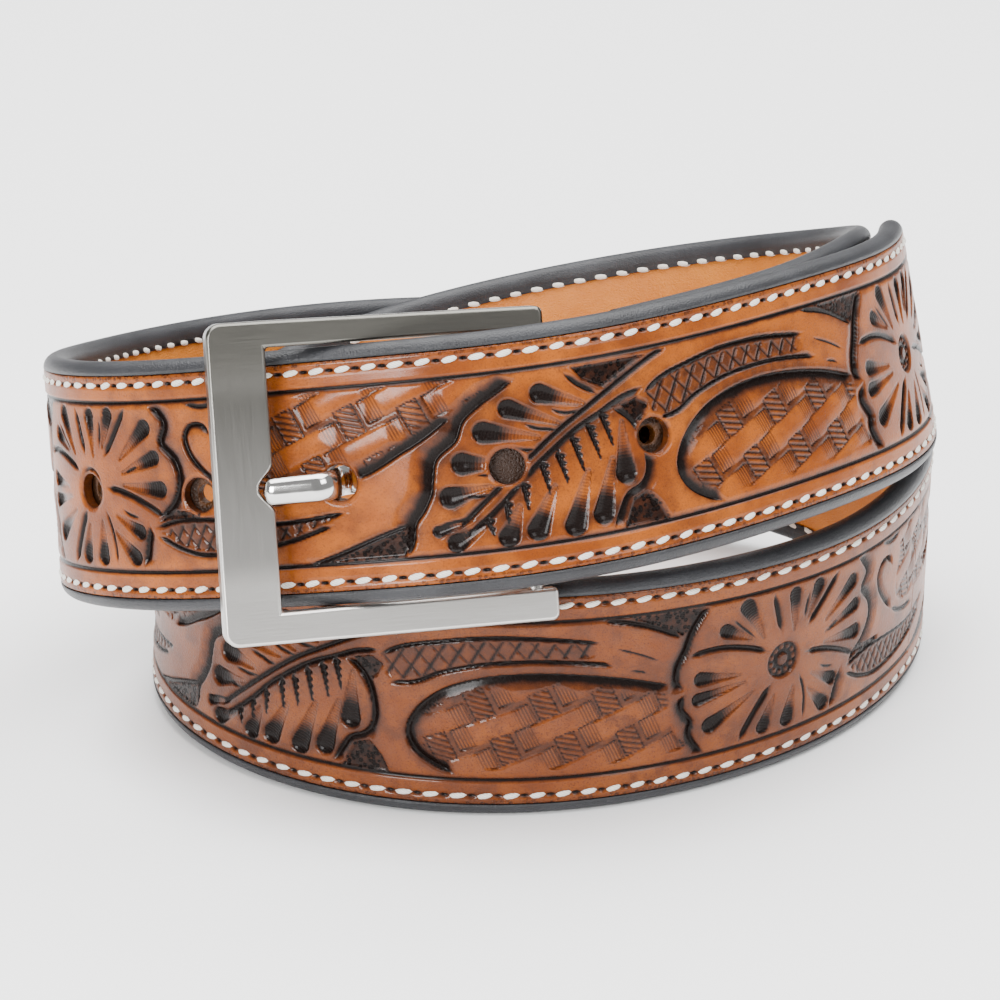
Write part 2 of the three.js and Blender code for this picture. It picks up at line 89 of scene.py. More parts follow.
@dataclass(frozen=True)
class Route:
    """Where the strap runs: a natural cubic spline through stations round the coil.

    The columns are angle in degrees, radius as a share of coil_radius, height as a share of
    width, lean of the upper edge outwards in degrees, and inset in layers. Directions and
    lengths are measured over steps of probe degrees.
    """

    width: float = 38.0
    thickness: float = 4.0
    gap: float = 0.3
    coil_radius: float = 66.0
    layer_step: float = 5.58
    start_angle: float = 18.5
    tip_angle: float = 829.0
    centring: Vec = (1.926, -0.303, 0.010)
    probe: float = 0.5
    stations: tuple[tuple[float, float, float, float, float], ...] = (
        (0, 0.995, 1.53, -14, 1),
        (30, 0.903, 1.576, -14.5, 1),
        (60, 0.892, 1.572, -14, 1),
        (90, 0.97, 1.52, -12, 1),
        (120, 1.005, 1.3, -1, 0.3),
        (150, 1.006, 1.05, 8.6, 0),
        (180, 0.967, 0.84, 10.8, 0),
        (210, 0.911, 0.69, 7.5, 0),
        (240, 0.882, 0.57, 2, 0),
        (270, 0.871, 0.52, -2.5, 0),
        (300, 0.866, 0.505, -3, 0),
        (330, 0.872, 0.5, -1.6, 0),
        (360, 0.868, 0.5, 1.2, 0),
        (390, 0.852, 0.5, 3.9, 0),
        (420, 0.888, 0.5, 4.8, 0),
        (450, 0.995, 0.508, 2.1, 0),
        (480, 1.15, 0.545, -0.4, 0),
        (510, 1.164, 0.625, -0.2, 0),
        (540, 1.092, 0.69, 2.9, 0),
        (570, 1.024, 0.753, 7.4, 0),
        (600, 1.008, 0.842, 10, 0),
        (630, 1.055, 1.003, 7.5, 0),
        (660, 1.156, 1.232, -2, 0),
        (690, 1.055, 1.442, -10.5, 0),
        (720, 0.995, 1.576, -14, 0),
        (750, 0.903, 1.621, -14.5, 0),
        (780, 0.892, 1.608, -14, 0),
        (810, 0.97, 1.545, -12, 0),
        (840, 1.06, 1.5, -8, 0),
    )

    def column(self, index: int, angle: Array) -> Array:
        """Reads one column of the stations at any angle.

        Args:
            index: column number, 1 for radius to 4 for inset.
            angle: degrees round the coil.

        Returns:
            The column's value at each angle.
        """
        values = np.array([row[index] for row in self.stations], float)
        step = self.stations[1][0] - self.stations[0][0]
        count = len(values)
        slack = np.zeros(count)
        bends = np.zeros(count)
        for i in range(1, count - 1):
            pivot = 4 - slack[i - 1]
            load = 6 * (values[i + 1] - 2 * values[i] + values[i - 1]) / step**2
            slack[i] = 1 / pivot
            bends[i] = (load - bends[i - 1]) / pivot
        for i in range(count - 2, 0, -1):
            bends[i] -= slack[i] * bends[i + 1]
        place = np.asarray(angle, float) / step
        i = np.clip(np.floor(place).astype(int), 0, count - 2)
        b = place - i
        a = 1 - b
        bend = ((a**3 - a) * bends[i] + (b**3 - b) * bends[i + 1]) * step**2 / 6
        return a * values[i] + b * values[i + 1] + bend

    def middle(self, angle: Array) -> Array:
        """Middle line of the strap.

        Args:
            angle: degrees round the coil.

        Returns:
            Points in millimetres before the footprint is centred.
        """
        turn = np.radians(angle)
        radius = self.column(1, angle) * self.coil_radius - self.column(4, angle) * self.layer_step
        height = self.column(2, angle) * self.width
        return np.stack([radius * np.sin(turn), -radius * np.cos(turn), height], -1)

    def axes(self, angle: Array) -> Arrays:
        """Directions along the strap, across it upwards, and out of its face.

        Args:
            angle: degrees round the coil.

        Returns:
            Three arrays of unit vectors.
        """
        along = unit(self.middle(angle + self.probe) - self.middle(angle - self.probe))
        outward = unit(np.stack([along[..., 1], -along[..., 0], np.zeros_like(along[..., 0])], -1))
        lean = np.radians(self.column(3, angle))[..., None]
        across = np.array([0, 0, 1.0]) * np.cos(lean) + outward * np.sin(lean)
        across = unit(across - along * np.sum(across * along, -1, keepdims=True))
        return along, across, np.cross(along, across)

    def spot(self, angle: float, w: float, n: float) -> Array:
        """One point of the model in millimetres: angle, distance across and distance out."""
        _, across, out = self.axes(np.array(float(angle)))
        return self.middle(np.array(float(angle))) + across * w + out * n + np.array(self.centring)

    def ruler(self) -> Arrays:
        """Length along the middle line at every probe, as angles and lengths."""
        angles = np.arange(0, self.stations[-1][0] + self.probe / 2, self.probe)
        steps = np.linalg.norm(np.diff(self.middle(angles), axis=0), axis=1)
        return angles, np.concatenate([[0], np.cumsum(steps)])

    def length_at(self, angle: float) -> float:
        """Length along the strap at an angle round the coil."""
        angles, lengths = self.ruler()
        return float(np.interp(angle, angles, lengths))

    def angle_at(self, length: Array) -> Array:
        """Angle round the coil at a length along the strap."""
        angles, lengths = self.ruler()
        return np.interp(length, lengths, angles)

    def point(self, s: Array, w: Array, n: Array) -> Array:
        """Places points given in the belt's own coordinates.

        Args:
            s: length along the strap.
            w: distance across it, towards the upper edge.
            n: distance out of its face.

        Returns:
            Points of the model in metres, with one more axis than the wider of the inputs.
        """
        s, w, n = np.broadcast_arrays(*(np.asarray(value, float) for value in (s, w, n)))
        flat, back = np.unique(s.ravel(), return_inverse=True)
        angle = self.angle_at(flat)
        _, across, out = self.axes(angle)
        middle = self.middle(angle)
        spots = middle[back] + across[back] * w.reshape(-1, 1) + out[back] * n.reshape(-1, 1)
        return (spots + np.array(self.centring)).reshape(s.shape + (3,)) * MM


def unit(vectors: Array) -> Array:
    """Vectors scaled to a length of one."""
    return vectors / np.linalg.norm(vectors, axis=-1, keepdims=True)


# Mesh helpers


def new_object(name: str, data: bpy.types.ID) -> Piece:
    """Adds an object for a mesh, a lamp or a camera to the scene, at the origin."""
    piece = bpy.data.objects.new(name, data)
    bpy.context.scene.collection.objects.link(piece)
    return piece


def sweep(name: str, rings: Array, flip: bool = False) -> Piece:
    """Closed solid through rings of points, smooth along its sides and flat at its ends.

    Args:
        name: name of the piece.
        rings: array of rings by points of a ring by three, in metres.
        flip: turns the faces round.

    Returns:
        The new object, at the origin.
    """
    count, size = rings.shape[:2]
    r = np.arange(count - 1)[:, None] * size
    k = np.arange(size)[None, :]
    j = (k + 1) % size
    quads = np.stack([r + k, r + j, r + size + j, r + size + k], -1).reshape(-1, 4)
    first = np.arange(size)[::-1]
    last = np.arange(size) + (count - 1) * size
    if flip:
        quads, first, last = quads[:, ::-1], first[::-1], last[::-1]
    corners = np.concatenate([quads.ravel(), first, last]).astype(np.int32)
    sizes = np.array([4] * len(quads) + [size, size], np.int32)
    mesh = bpy.data.meshes.new(name)
    mesh.vertices.add(count * size)
    mesh.vertices.foreach_set("co", rings.astype(np.float32).ravel())
    mesh.loops.add(len(corners))
    mesh.loops.foreach_set("vertex_index", corners)
    mesh.polygons.add(len(sizes))
    starts = np.concatenate([[0], np.cumsum(sizes)[:-1]]).astype(np.int32)
    mesh.polygons.foreach_set("loop_start", starts)
    mesh.polygons.foreach_set("use_smooth", np.arange(len(sizes)) < len(quads))
    mesh.update(calc_edges=True)
    mesh.validate()
    return new_object(name, mesh)


def add_attribute(piece: Piece, name: str, values: Array) -> None:
    """Stores a value or a vector for each vertex of a piece.

    Args:
        piece: the object whose mesh gets the attribute.
        name: the attribute's name.
        values: one number, or three, for each vertex.
    """
    kind = "FLOAT_VECTOR" if values.ndim == 2 else "FLOAT"
    attribute = piece.data.attributes.new(name, kind, "POINT")
    key = "vector" if values.ndim == 2 else "value"
    attribute.data.foreach_set(key, values.astype(np.float32).ravel())


def add_belt_place(piece: Piece, s: Array, w: Array, n: Array) -> None:
    """Stores each vertex's place on the belt, which the leather reads in centimetres."""
    add_attribute(piece, "belt", np.stack([s, w, n], -1).reshape(-1, 3) / MM_IN_CM)


def vertex_places(piece: Piece) -> Array:
    """Places of a mesh's vertices, one row each."""
    return np.array([vertex.co for vertex in piece.data.vertices])


def select_only(piece: Piece) -> None:
    """Selects one object and makes it the active one."""
    bpy.ops.object.select_all(action="DESELECT")
    piece.select_set(True)
    bpy.context.view_layer.objects.active = piece


def edit(piece: Piece, mode: str, everything: bool = False) -> bmesh.types.BMesh:
    """Goes into edit mode on a piece.

    Args:
        piece: the object to edit.
        mode: what is selected: VERT, EDGE or FACE.
        everything: selects the whole mesh instead of nothing.

    Returns:
        The edit mesh.
    """
    select_only(piece)
    bpy.ops.object.mode_set(mode="EDIT")
    bpy.ops.mesh.select_mode(type=mode)
    bpy.ops.mesh.select_all(action="SELECT" if everything else "DESELECT")
    return bmesh.from_edit_mesh(piece.data)


def leave_edit() -> None:
    """Goes back to object mode."""
    bpy.ops.object.mode_set(mode="OBJECT")


def face_outwards(piece: Piece) -> None:
    """Turns a closed mesh's faces outwards."""
    edit(piece, "VERT", everything=True)
    bpy.ops.mesh.normals_make_consistent(inside=False)
    leave_edit()


def bevel_edges(
    piece: Piece, width: float, segments: int, angle: float, profile: float = 0.5
) -> None:
    """Rounds the edges of a piece that are sharper than an angle.

    Args:
        piece: the object to round.
        width: the bevel's width in the mesh's units.
        segments: its segments.
        angle: the angle in degrees.
        profile: how full it is.
    """
    select_only(piece)
    bevel = piece.modifiers.new("edges", "BEVEL")
    bevel.width = width
    bevel.segments = segments
    bevel.profile = profile
    bevel.limit_method = "ANGLE"
    bevel.angle_limit = math.radians(angle)
    bpy.ops.object.modifier_apply(modifier="edges")


def join_to(piece: Piece, other: Piece) -> None:
    """Joins another object's mesh to a piece."""
    select_only(piece)
    other.select_set(True)
    bpy.ops.object.join()


def settle(piece: Piece, name: str) -> Piece:
    """Names a piece made with operators and writes its place into its mesh.

    Args:
        piece: the object to finish.
        name: its name.

    Returns:
        The same object, at the origin.
    """
    select_only(piece)
    bpy.ops.object.transform_apply(location=True, rotation=True, scale=True)
    piece.name = name
    piece.data.name = name
    return piece


def dress(piece: Piece, material: Material, slot: str, *nodes: str) -> None:
    """Gives a piece its material and ties it to the model.

    Args:
        piece: the finished object.
        material: its material.
        slot: the record's material slot, not used.
        nodes: the model's nodes that the piece stands for.
    """
    piece.data.materials.clear()
    piece.data.materials.append(material)
    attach(piece, "root")
    if nodes:
        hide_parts(*nodes)
    triangles = sum(len(face.vertices) - 2 for face in piece.data.polygons)
    LOG.info("%s: %d triangles", piece.name, triangles)


# Finishes


def dim(color: Color, share: float) -> Color:
    """A share of a colour."""
    return tuple(share * value for value in color)


class Graph:
    """A node tree with short calls that add nodes to it."""

    def __init__(self, tree: Tree) -> None:
        """Keeps the tree."""
        self.tree = tree

    def node(self, kind: str, **settings: object) -> bpy.types.Node:
        """Adds a node and sets its options by name."""
        node = self.tree.nodes.new(kind)
        for key, value in settings.items():
            setattr(node, key, value)
        return node

    def plug(self, value: object, socket: Socket) -> None:
        """Links a socket to another, or sets its value, where a colour gets an alpha of one.

        Args:
            value: a socket, a number, a colour or a vector.
            socket: the input that gets it.
        """
        if isinstance(value, bpy.types.NodeSocket):
            self.tree.links.new(value, socket)
        elif isinstance(value, tuple) and len(value) == 3 and socket.type == "RGBA":
            socket.default_value = (*value, 1.0)
        else:
            socket.default_value = value

    def math(self, kind: str, *values: object) -> Socket:
        """Adds a Math node of a kind, with numbers or sockets as its inputs."""
        node = self.node("ShaderNodeMath", operation=kind)
        for value, socket in zip(values, node.inputs):
            self.plug(value, socket)
        return node.outputs[0]

    def times(self, first: object, second: object) -> Socket:
        """Multiplies two values."""
        return self.math("MULTIPLY", first, second)

    def fit(self, value: object, factor: object, offset: object) -> Socket:
        """A value times a factor, plus an offset."""
        return self.math("MULTIPLY_ADD", value, factor, offset)

    def mix(self, share: object, low: object, high: object, kind: str = "RGBA") -> Socket:
        """Mixes two colours, or two vectors for the kind VECTOR, by a share.

        Args:
            share: how much of high there is.
            low: what a share of 0 gives.
            high: what a share of 1 gives.
            kind: RGBA or VECTOR.

        Returns:
            The result's socket.
        """
        ending = {"RGBA": "Color", "VECTOR": "Vector"}[kind]
        node = self.node("ShaderNodeMix", data_type=kind)
        sockets = {socket.identifier: socket for socket in node.inputs}
        self.plug(share, sockets["Factor_Float"])
        self.plug(low, sockets[f"A_{ending}"])
        self.plug(high, sockets[f"B_{ending}"])
        return next(socket for socket in node.outputs if socket.identifier == f"Result_{ending}")

    def ramp(self, value: object, low: float, high: float) -> Socket:
        """A smooth step of a value from 0 at low to 1 at high."""
        node = self.node("ShaderNodeMapRange", interpolation_type="SMOOTHSTEP")
        self.plug(value, node.inputs["Value"])
        node.inputs["From Min"].default_value = low
        node.inputs["From Max"].default_value = high
        return node.outputs["Result"]

    def noise(self, place: object, scale: float, detail: float = 3.0) -> Socket:
        """Adds a Noise texture that reads a place."""
        node = self.node("ShaderNodeTexNoise")
        self.plug(place, node.inputs["Vector"])
        node.inputs["Scale"].default_value = scale
        node.inputs["Detail"].default_value = detail
        return node.outputs["Fac"]

    def cells(self, place: object, scale: object, feature: str) -> Socket:
        """Adds a Voronoi texture that reads a place, and returns its distance."""
        node = self.node("ShaderNodeTexVoronoi", feature=feature)
        self.plug(place, node.inputs["Vector"])
        self.plug(scale, node.inputs["Scale"])
        return node.outputs["Distance"]

    def parts(self, vector: Socket) -> bpy.types.NodeOutputs:
        """Splits a vector into its X, Y and Z."""
        node = self.node("ShaderNodeSeparateXYZ")
        self.plug(vector, node.inputs[0])
        return node.outputs


class Shader(Graph):
    """A new node material with its Principled BSDF."""

    def __init__(self, name: str) -> None:
        """Starts the material.

        Args:
            name: the material's name.
        """
        self.material = bpy.data.materials.new(name)
        self.material.use_nodes = True
        super().__init__(self.material.node_tree)
        self.body = next(n for n in self.tree.nodes if n.type == "BSDF_PRINCIPLED")

    def set(self, **values: float | tuple[float, ...]) -> None:
        """Sets sockets of the Principled BSDF by their names, with _ for a space."""
        for key, value in values.items():
            self.body.inputs[key.replace("_", " ")].default_value = value

    def feed(self, **sockets: Socket) -> None:
        """Links sockets to the Principled BSDF by its sockets' names, with _ for a space."""
        for key, socket in sockets.items():
            self.tree.links.new(socket, self.body.inputs[key.replace("_", " ")])

    def read(self, name: str, output: str = "Fac") -> Socket:
        """Reads an attribute of the mesh."""
        return self.node("ShaderNodeAttribute", attribute_name=name).outputs[output]

    def use(self, group: Tree, **inputs: object) -> bpy.types.Node:
        """Places a node group and sets or links its inputs."""
        node = self.node("ShaderNodeGroup", node_tree=group)
        for key, value in inputs.items():
            self.plug(value, node.inputs[key.replace("_", " ")])
        return node

    def bump(self, height: Socket, distance: float) -> Socket:
        """Adds a Bump node that reads a height and returns its normal.

        Args:
            height: the height's socket.
            distance: what a height of 1 stands for, in metres.

        Returns:
            The normal's socket.
        """
        node = self.node("ShaderNodeBump")
        node.inputs["Distance"].default_value = distance
        node.inputs["Strength"].default_value = 1.0
        self.plug(height, node.inputs["Height"])
        return node.outputs["Normal"]


def leather_grain(fine_scale: float = 30.0, mottle_scale: float = 1.1) -> Tree:
    """Group: fine creases and pores of leather as a height, and broad mottling as a mask.

    Args:
        fine_scale: scale of the finest noise, for a centimetre.
        mottle_scale: scale of the mottling.

    Returns:
        The node group.
    """
    group = bpy.data.node_groups.new("leather_grain", "ShaderNodeTree")
    for name, way, kind in (
        ("Place", "INPUT", "NodeSocketVector"),
        ("Fineness", "INPUT", "NodeSocketFloat"),
        ("Pores", "INPUT", "NodeSocketFloat"),
        ("Height", "OUTPUT", "NodeSocketFloat"),
        ("Mottle", "OUTPUT", "NodeSocketFloat"),
    ):
        group.interface.new_socket(name, in_out=way, socket_type=kind)
    graph = Graph(group)
    given = graph.node("NodeGroupInput").outputs
    made = graph.node("NodeGroupOutput").inputs
    creases = graph.cells(given["Place"], given["Fineness"], "DISTANCE_TO_EDGE")
    pores = graph.times(graph.ramp(creases, 0.0, 0.3), given["Pores"])
    fine = graph.noise(given["Place"], fine_scale, 4.0)
    graph.plug(graph.math("ADD", fine, pores), made["Height"])
    broad = graph.noise(given["Place"], mottle_scale, 5.0)
    graph.plug(graph.ramp(broad, 0.3, 0.7), made["Mottle"])
    return group


@dataclass(frozen=True)
class PlainFinish:
    """An even finish of one colour."""

    name: str
    color: Color
    roughness: float

    def material(self) -> Material:
        """Builds the material."""
        shader = Shader(self.name)
        shader.set(Base_Color=(*self.color, 1.0), Roughness=self.roughness)
        return shader.material


@dataclass(frozen=True)
class SmoothLeather:
    """Smooth leather of one colour, with grain, mottling and a light sheen.

    The dye attribute darkens it towards a share of its deep colour; on the lining it is a painted
    shadow round the holes.
    """

    name: str
    grain: Tree
    light: Color
    deep: Color
    fineness: float = 18.0
    pores: float = 0.5
    roughness: float = 0.45
    relief: float = 0.00012
    fleck_scale: float = 14.0
    fleck_share: float = 0.6
    mottle_share: float = 0.6
    floor: float = -0.1
    gloss_range: float = 0.16
    dye_gain: float = 2.2
    shaded: float = 0.05
    specular: float = 0.35

    def material(self) -> Material:
        """Builds the material."""
        shader = Shader(self.name)
        place = shader.read("belt", "Vector")
        grain = shader.use(self.grain, Place=place, Fineness=self.fineness, Pores=self.pores)
        fleck = shader.noise(place, self.fleck_scale, 6.0)
        mottle = shader.fit(grain.outputs["Mottle"], self.mottle_share, self.floor)
        plain = shader.mix(shader.fit(fleck, self.fleck_share, mottle), self.deep, self.light)
        rough = shader.fit(fleck, self.gloss_range, self.roughness - self.gloss_range / 2)
        # Painted shadow: the dye attribute darkens the lining round its holes.
        shaded = shader.times(shader.read("dye"), self.dye_gain)
        color = shader.mix(shaded, plain, dim(self.deep, self.shaded))
        normal = shader.bump(grain.outputs["Height"], self.relief)
        shader.feed(Base_Color=color, Roughness=rough, Normal=normal)
        shader.set(Specular_IOR_Level=self.specular)
        return shader.material


@dataclass(frozen=True)
class BrushedNickel:
    """Satin nickel, brushed along the far bar and lengthwise along the arms.

    It reads the frame's own place in centimetres. The brushing turns at the height blend. A painted
    shade darkens the metal upwards, from the lower arm to the upper one, standing in for the upper
    arm's darker reflections; the same dark tint also darkens the brushing streaks.
    """

    along: Vec
    up: Vec
    blend: Spot = (0.735, 2.135)
    # Painted shade: full at the first height, high on the upper arm, and gone at the second, on the
    # lower arm, in centimetres.
    shade_at: float = 2.3
    lit_at: float = -2.5
    stretches: tuple[Vec, Vec] = ((60.0, 60.0, 1.6), (1.6, 60.0, 60.0))
    color: Color = (0.66, 0.64, 0.61)
    # Dark tint for the brushing streaks and for the painted shade.
    streak_and_shade_tint: Color = (0.16, 0.155, 0.138)
    roughness: float = 0.25
    streak_gloss: float = 0.12
    streak_share: float = 0.2
    relief: float = 0.000012
    anisotropy: float = 0.6

    def material(self) -> Material:
        """Builds the material."""
        shader = Shader("brushed_nickel")
        place = shader.read("local", "Vector")
        height = shader.parts(place)["Z"]
        arm = shader.ramp(shader.math("ABSOLUTE", height), *self.blend)
        streaks = []
        for stretch in self.stretches:
            scaled = shader.node("ShaderNodeVectorMath", operation="MULTIPLY")
            shader.plug(place, scaled.inputs[0])
            scaled.inputs[1].default_value = stretch
            streaks.append(shader.noise(scaled.outputs[0], 1.0))
        streak = shader.mix(arm, *streaks)
        # Painted shade: the metal darkens upwards towards the dark tint, for the upper arm's darker
        # reflections.
        base = shader.mix(shader.ramp(height, self.shade_at, self.lit_at), self.streak_and_shade_tint, self.color)
        tint = shader.mix(shader.times(streak, self.streak_share), base, self.streak_and_shade_tint)
        rough = shader.fit(streak, self.streak_gloss, self.roughness)
        brushed = shader.mix(arm, self.along, self.up, "VECTOR")
        normal = shader.bump(streak, self.relief)
        shader.feed(Base_Color=tint, Roughness=rough, Normal=normal, Tangent=brushed)
        shader.set(Metallic=1.0, Anisotropic=self.anisotropy)
        return shader.material


@dataclass(frozen=True)
class PolishedNickel:
    """Bright nickel with faint handling marks."""

    color: Color = (0.72, 0.71, 0.69)
    marks_scale: float = 900.0
    marked: float = 0.9
    roughness: float = 0.06
    marks_gloss: float = 0.1
    relief: float = 0.000004

    def material(self) -> Material:
        """Builds the material."""
        shader = Shader("polished_nickel")
        marks = shader.noise(shader.node("ShaderNodeTexCoord").outputs["Object"], self.marks_scale)
        tint = shader.mix(marks, dim(self.color, self.marked), self.color)
        rough = shader.fit(marks, self.marks_gloss, self.roughness)
        shader.feed(Base_Color=tint, Roughness=rough, Normal=shader.bump(marks, self.relief))
        shader.set(Metallic=1.0)
        return shader.material


@dataclass(frozen=True)
class WaxedThread:
    """Off-white waxed thread, twisted from plies."""

    color: Color = (0.78, 0.74, 0.66)
    ply_pitch: float = 0.62
    ply_lean: float = 1.7
    between: float = 0.78
    roughness: float = 0.7
    ply_gloss: float = -0.15
    relief: float = 0.00004
    sheen: float = 0.2

    def material(self) -> Material:
        """Builds the material."""
        shader = Shader("thread")
        parts = shader.parts(shader.read("ply", "Vector"))
        turned = shader.fit(parts["Y"], self.ply_lean, parts["X"])
        wave = shader.math("SINE", shader.times(turned, 2 * math.pi / self.ply_pitch))
        ply = shader.ramp(wave, -1.0, 0.6)
        tint = shader.mix(ply, dim(self.color, self.between), self.color)
        rough = shader.fit(ply, self.ply_gloss, self.roughness)
        shader.feed(Base_Color=tint, Roughness=rough, Normal=shader.bump(ply, self.relief))
        shader.set(Sheen_Weight=self.sheen)
        return shader.material


@dataclass(frozen=True)
class TooledLeather:
    """Vegetable-tanned leather with dark antiquing in its recesses and a soft gloss.

    The shares say how strongly the cloudy noise, the ribs pressed into it, the stippled pits and
    the worn blotches count, first in the colour and then in the height.
    """

    grain: Tree
    light: Color = (0.31, 0.08, 0.009)
    deep: Color = (0.175, 0.038, 0.004)
    # Dark tone for worn patches and for the painted shade on the lower strand.
    burnt_and_shade_tone: Color = (0.09, 0.023, 0.006)
    brown: Color = (0.055, 0.014, 0.004)
    black: Color = (0.005, 0.0022, 0.0016)
    line_pitch: float = 0.48
    pit_scale: float = 14.0
    cloud_share: float = 0.9
    inked_share: float = 0.55
    groove_share: float = 0.24
    pit_share: float = 0.4
    blotch_share: float = 0.5
    age_and_shade_share: float = 0.7
    speck_share: float = 0.4
    to_brown: Spot = (0.02, 0.5)
    to_black: Spot = (0.38, 0.78)
    relief: float = 0.00022
    speck_height: float = 0.14
    grain_height: float = 0.26
    groove_height: float = -0.5
    pit_height: float = -1.5
    roughness: float = 0.36
    deep_gloss: float = -0.1
    cloud_gloss: float = 0.14
    coat: float = 0.2
    cloud_coat: float = 0.36
    deep_coat: float = -0.6
    coat_roughness: float = 0.14
    specular: float = 0.06

    def darkness(self, shader: Shader, cloud: Socket, groove: Socket, pit: Socket) -> Socket:
        """How dark the dye is: its attribute, made uneven where it is inked, with ribs and pits.

        Args:
            shader: the material's nodes.
            cloud: cloudy noise.
            groove: mask of the ribs.
            pit: mask of the pits.

        Returns:
            The darkness, 0 to about 1.
        """
        dye = shader.read("dye")
        uneven = shader.fit(cloud, self.cloud_share, -self.cloud_share / 2)
        inked = shader.times(shader.ramp(dye, 0.0, 0.3), self.inked_share)
        dark = shader.fit(groove, self.groove_share, shader.fit(uneven, inked, dye))
        return shader.fit(pit, self.pit_share, dark)

    def material(self) -> Material:
        """Builds the material."""
        shader = Shader("tooled_leather")
        place = shader.read("belt", "Vector")
        grain = shader.use(self.grain, Place=place, Fineness=16.0, Pores=0.35)
        turns = shader.times(shader.read("phase"), 2 * math.pi / self.line_pitch)
        wave = shader.math("SINE", turns)
        groove = shader.times(shader.read("lines"), shader.ramp(wave, -0.6, 0.8))
        dots = shader.cells(place, self.pit_scale, "F1")
        pit = shader.times(shader.read("stipple"), shader.ramp(dots, 0.55, 0.2))
        cloud = shader.noise(place, 6.0, 5.0)
        blotch = shader.ramp(shader.noise(place, 2.3, 6.0), 0.46, 0.74)
        speck = shader.ramp(shader.noise(place, 34.0), 0.5, 0.72)
        dark = self.darkness(shader, cloud, groove, pit)
        # Painted shade on the lower strand and darker margins, read from the attribute, mix the tan
        # towards the dark tone, with blotches and specks.
        worn = shader.times(shader.read("age"), self.age_and_shade_share)
        worn = shader.fit(blotch, self.blotch_share, worn)
        worn = shader.fit(speck, self.speck_share, worn)
        fresh = shader.mix(grain.outputs["Mottle"], self.deep, self.light)
        tan = shader.mix(worn, fresh, self.burnt_and_shade_tone)
        color = shader.mix(shader.ramp(dark, *self.to_brown), tan, self.brown)
        color = shader.mix(shader.ramp(dark, *self.to_black), color, self.black)
        height = shader.times(grain.outputs["Height"], self.grain_height)
        height = shader.fit(speck, self.speck_height, height)
        height = shader.fit(groove, self.groove_height, height)
        height = shader.fit(pit, self.pit_height, height)
        deep = shader.ramp(dark, 0.3, 0.9)
        rough = shader.fit(deep, self.deep_gloss, self.roughness)
        rough = shader.fit(cloud, self.cloud_gloss, rough)
        coat = shader.fit(cloud, self.cloud_coat, self.coat)
        coat = shader.times(coat, shader.fit(deep, self.deep_coat, 1.0))
        normal = shader.bump(height, self.relief)
        shader.feed(Base_Color=color, Roughness=rough, Normal=normal, Coat_Weight=coat)
        shader.set(Specular_IOR_Level=self.specular, Coat_Roughness=self.coat_roughness)
        return shader.material


# Tooling


class Side(Enum):
    """Which side of a knife cut is beveled down, seen along the cut."""

    LEFT = 1
    RIGHT = -1
    BOTH = 0


@dataclass(frozen=True)
class Cut:
    """A swivel-knife cut through places (u, w), beveled down on a side as far as reach."""

    points: tuple[Spot, ...]
    side: Side
    reach: float
    depth: float


@dataclass(frozen=True)
class Scoop:
    """A thumbprint pressed between a wide end and a narrow end, each (u, w, radius).

    It has its depth at the wide end. Its dye fades by fade towards the narrow end, and ragged says
    how far its left side is serrated, as a share of its radius, or its right if negative.
    """

    wide: Vec
    narrow: Vec
    depth: float = 0.6
    fade: float = 0.85
    ragged: float = 0.0


@dataclass(frozen=True)
class Matted:
    """An area of stippled background, pressed down inside its outline."""

    outline: tuple[Spot, ...]
    depth: float = 0.6


@dataclass(frozen=True)
class Weave:
    """An area of basket weave inside an outline, with the place of one rope of its lattice."""

    outline: tuple[Spot, ...]
    rope: Spot


@dataclass(frozen=True)
class Scales:
    """A band of crossed cuts inside an outline."""

    outline: tuple[Spot, ...]
    pitch: float = 3.2


def smooth_line(points: tuple[Spot, ...], pieces: int = 5) -> Array:
    """Points of a smooth curve through given points.

    Args:
        points: at least two places.
        pieces: new pieces for each stretch.

    Returns:
        The curve's points in order.
    """
    p = np.array(points, float)
    if len(p) < 3:
        return np.linspace(p[0], p[-1], pieces + 1)
    ends = np.concatenate([[2 * p[0] - p[1]], p, [2 * p[-1] - p[-2]]])
    t = np.linspace(0, 1, pieces, endpoint=False)[:, None]
    out = []
    for i in range(len(p) - 1):
        a, b, c, d = ends[i : i + 4]
        square, cube = 2 * a - 5 * b + 4 * c - d, 3 * b - a - 3 * c + d
        out.append((2 * b + (c - a) * t + square * t**2 + cube * t**3) / 2)
    return np.concatenate([*out, p[-1:]])


def smooth_outline(points: tuple[Spot, ...]) -> Array:
    """A smooth curve through given points and back to the first."""
    return smooth_line(points + points[:1], 4)


def within(values: Array) -> Array:
    """Values clipped to between 0 and 1."""
    return np.clip(values, 0, 1)


def ease(values: Array) -> Array:
    """A smooth step from 0 at 0 to 1 at 1."""
    values = within(values)
    return values * values * (3 - 2 * values)


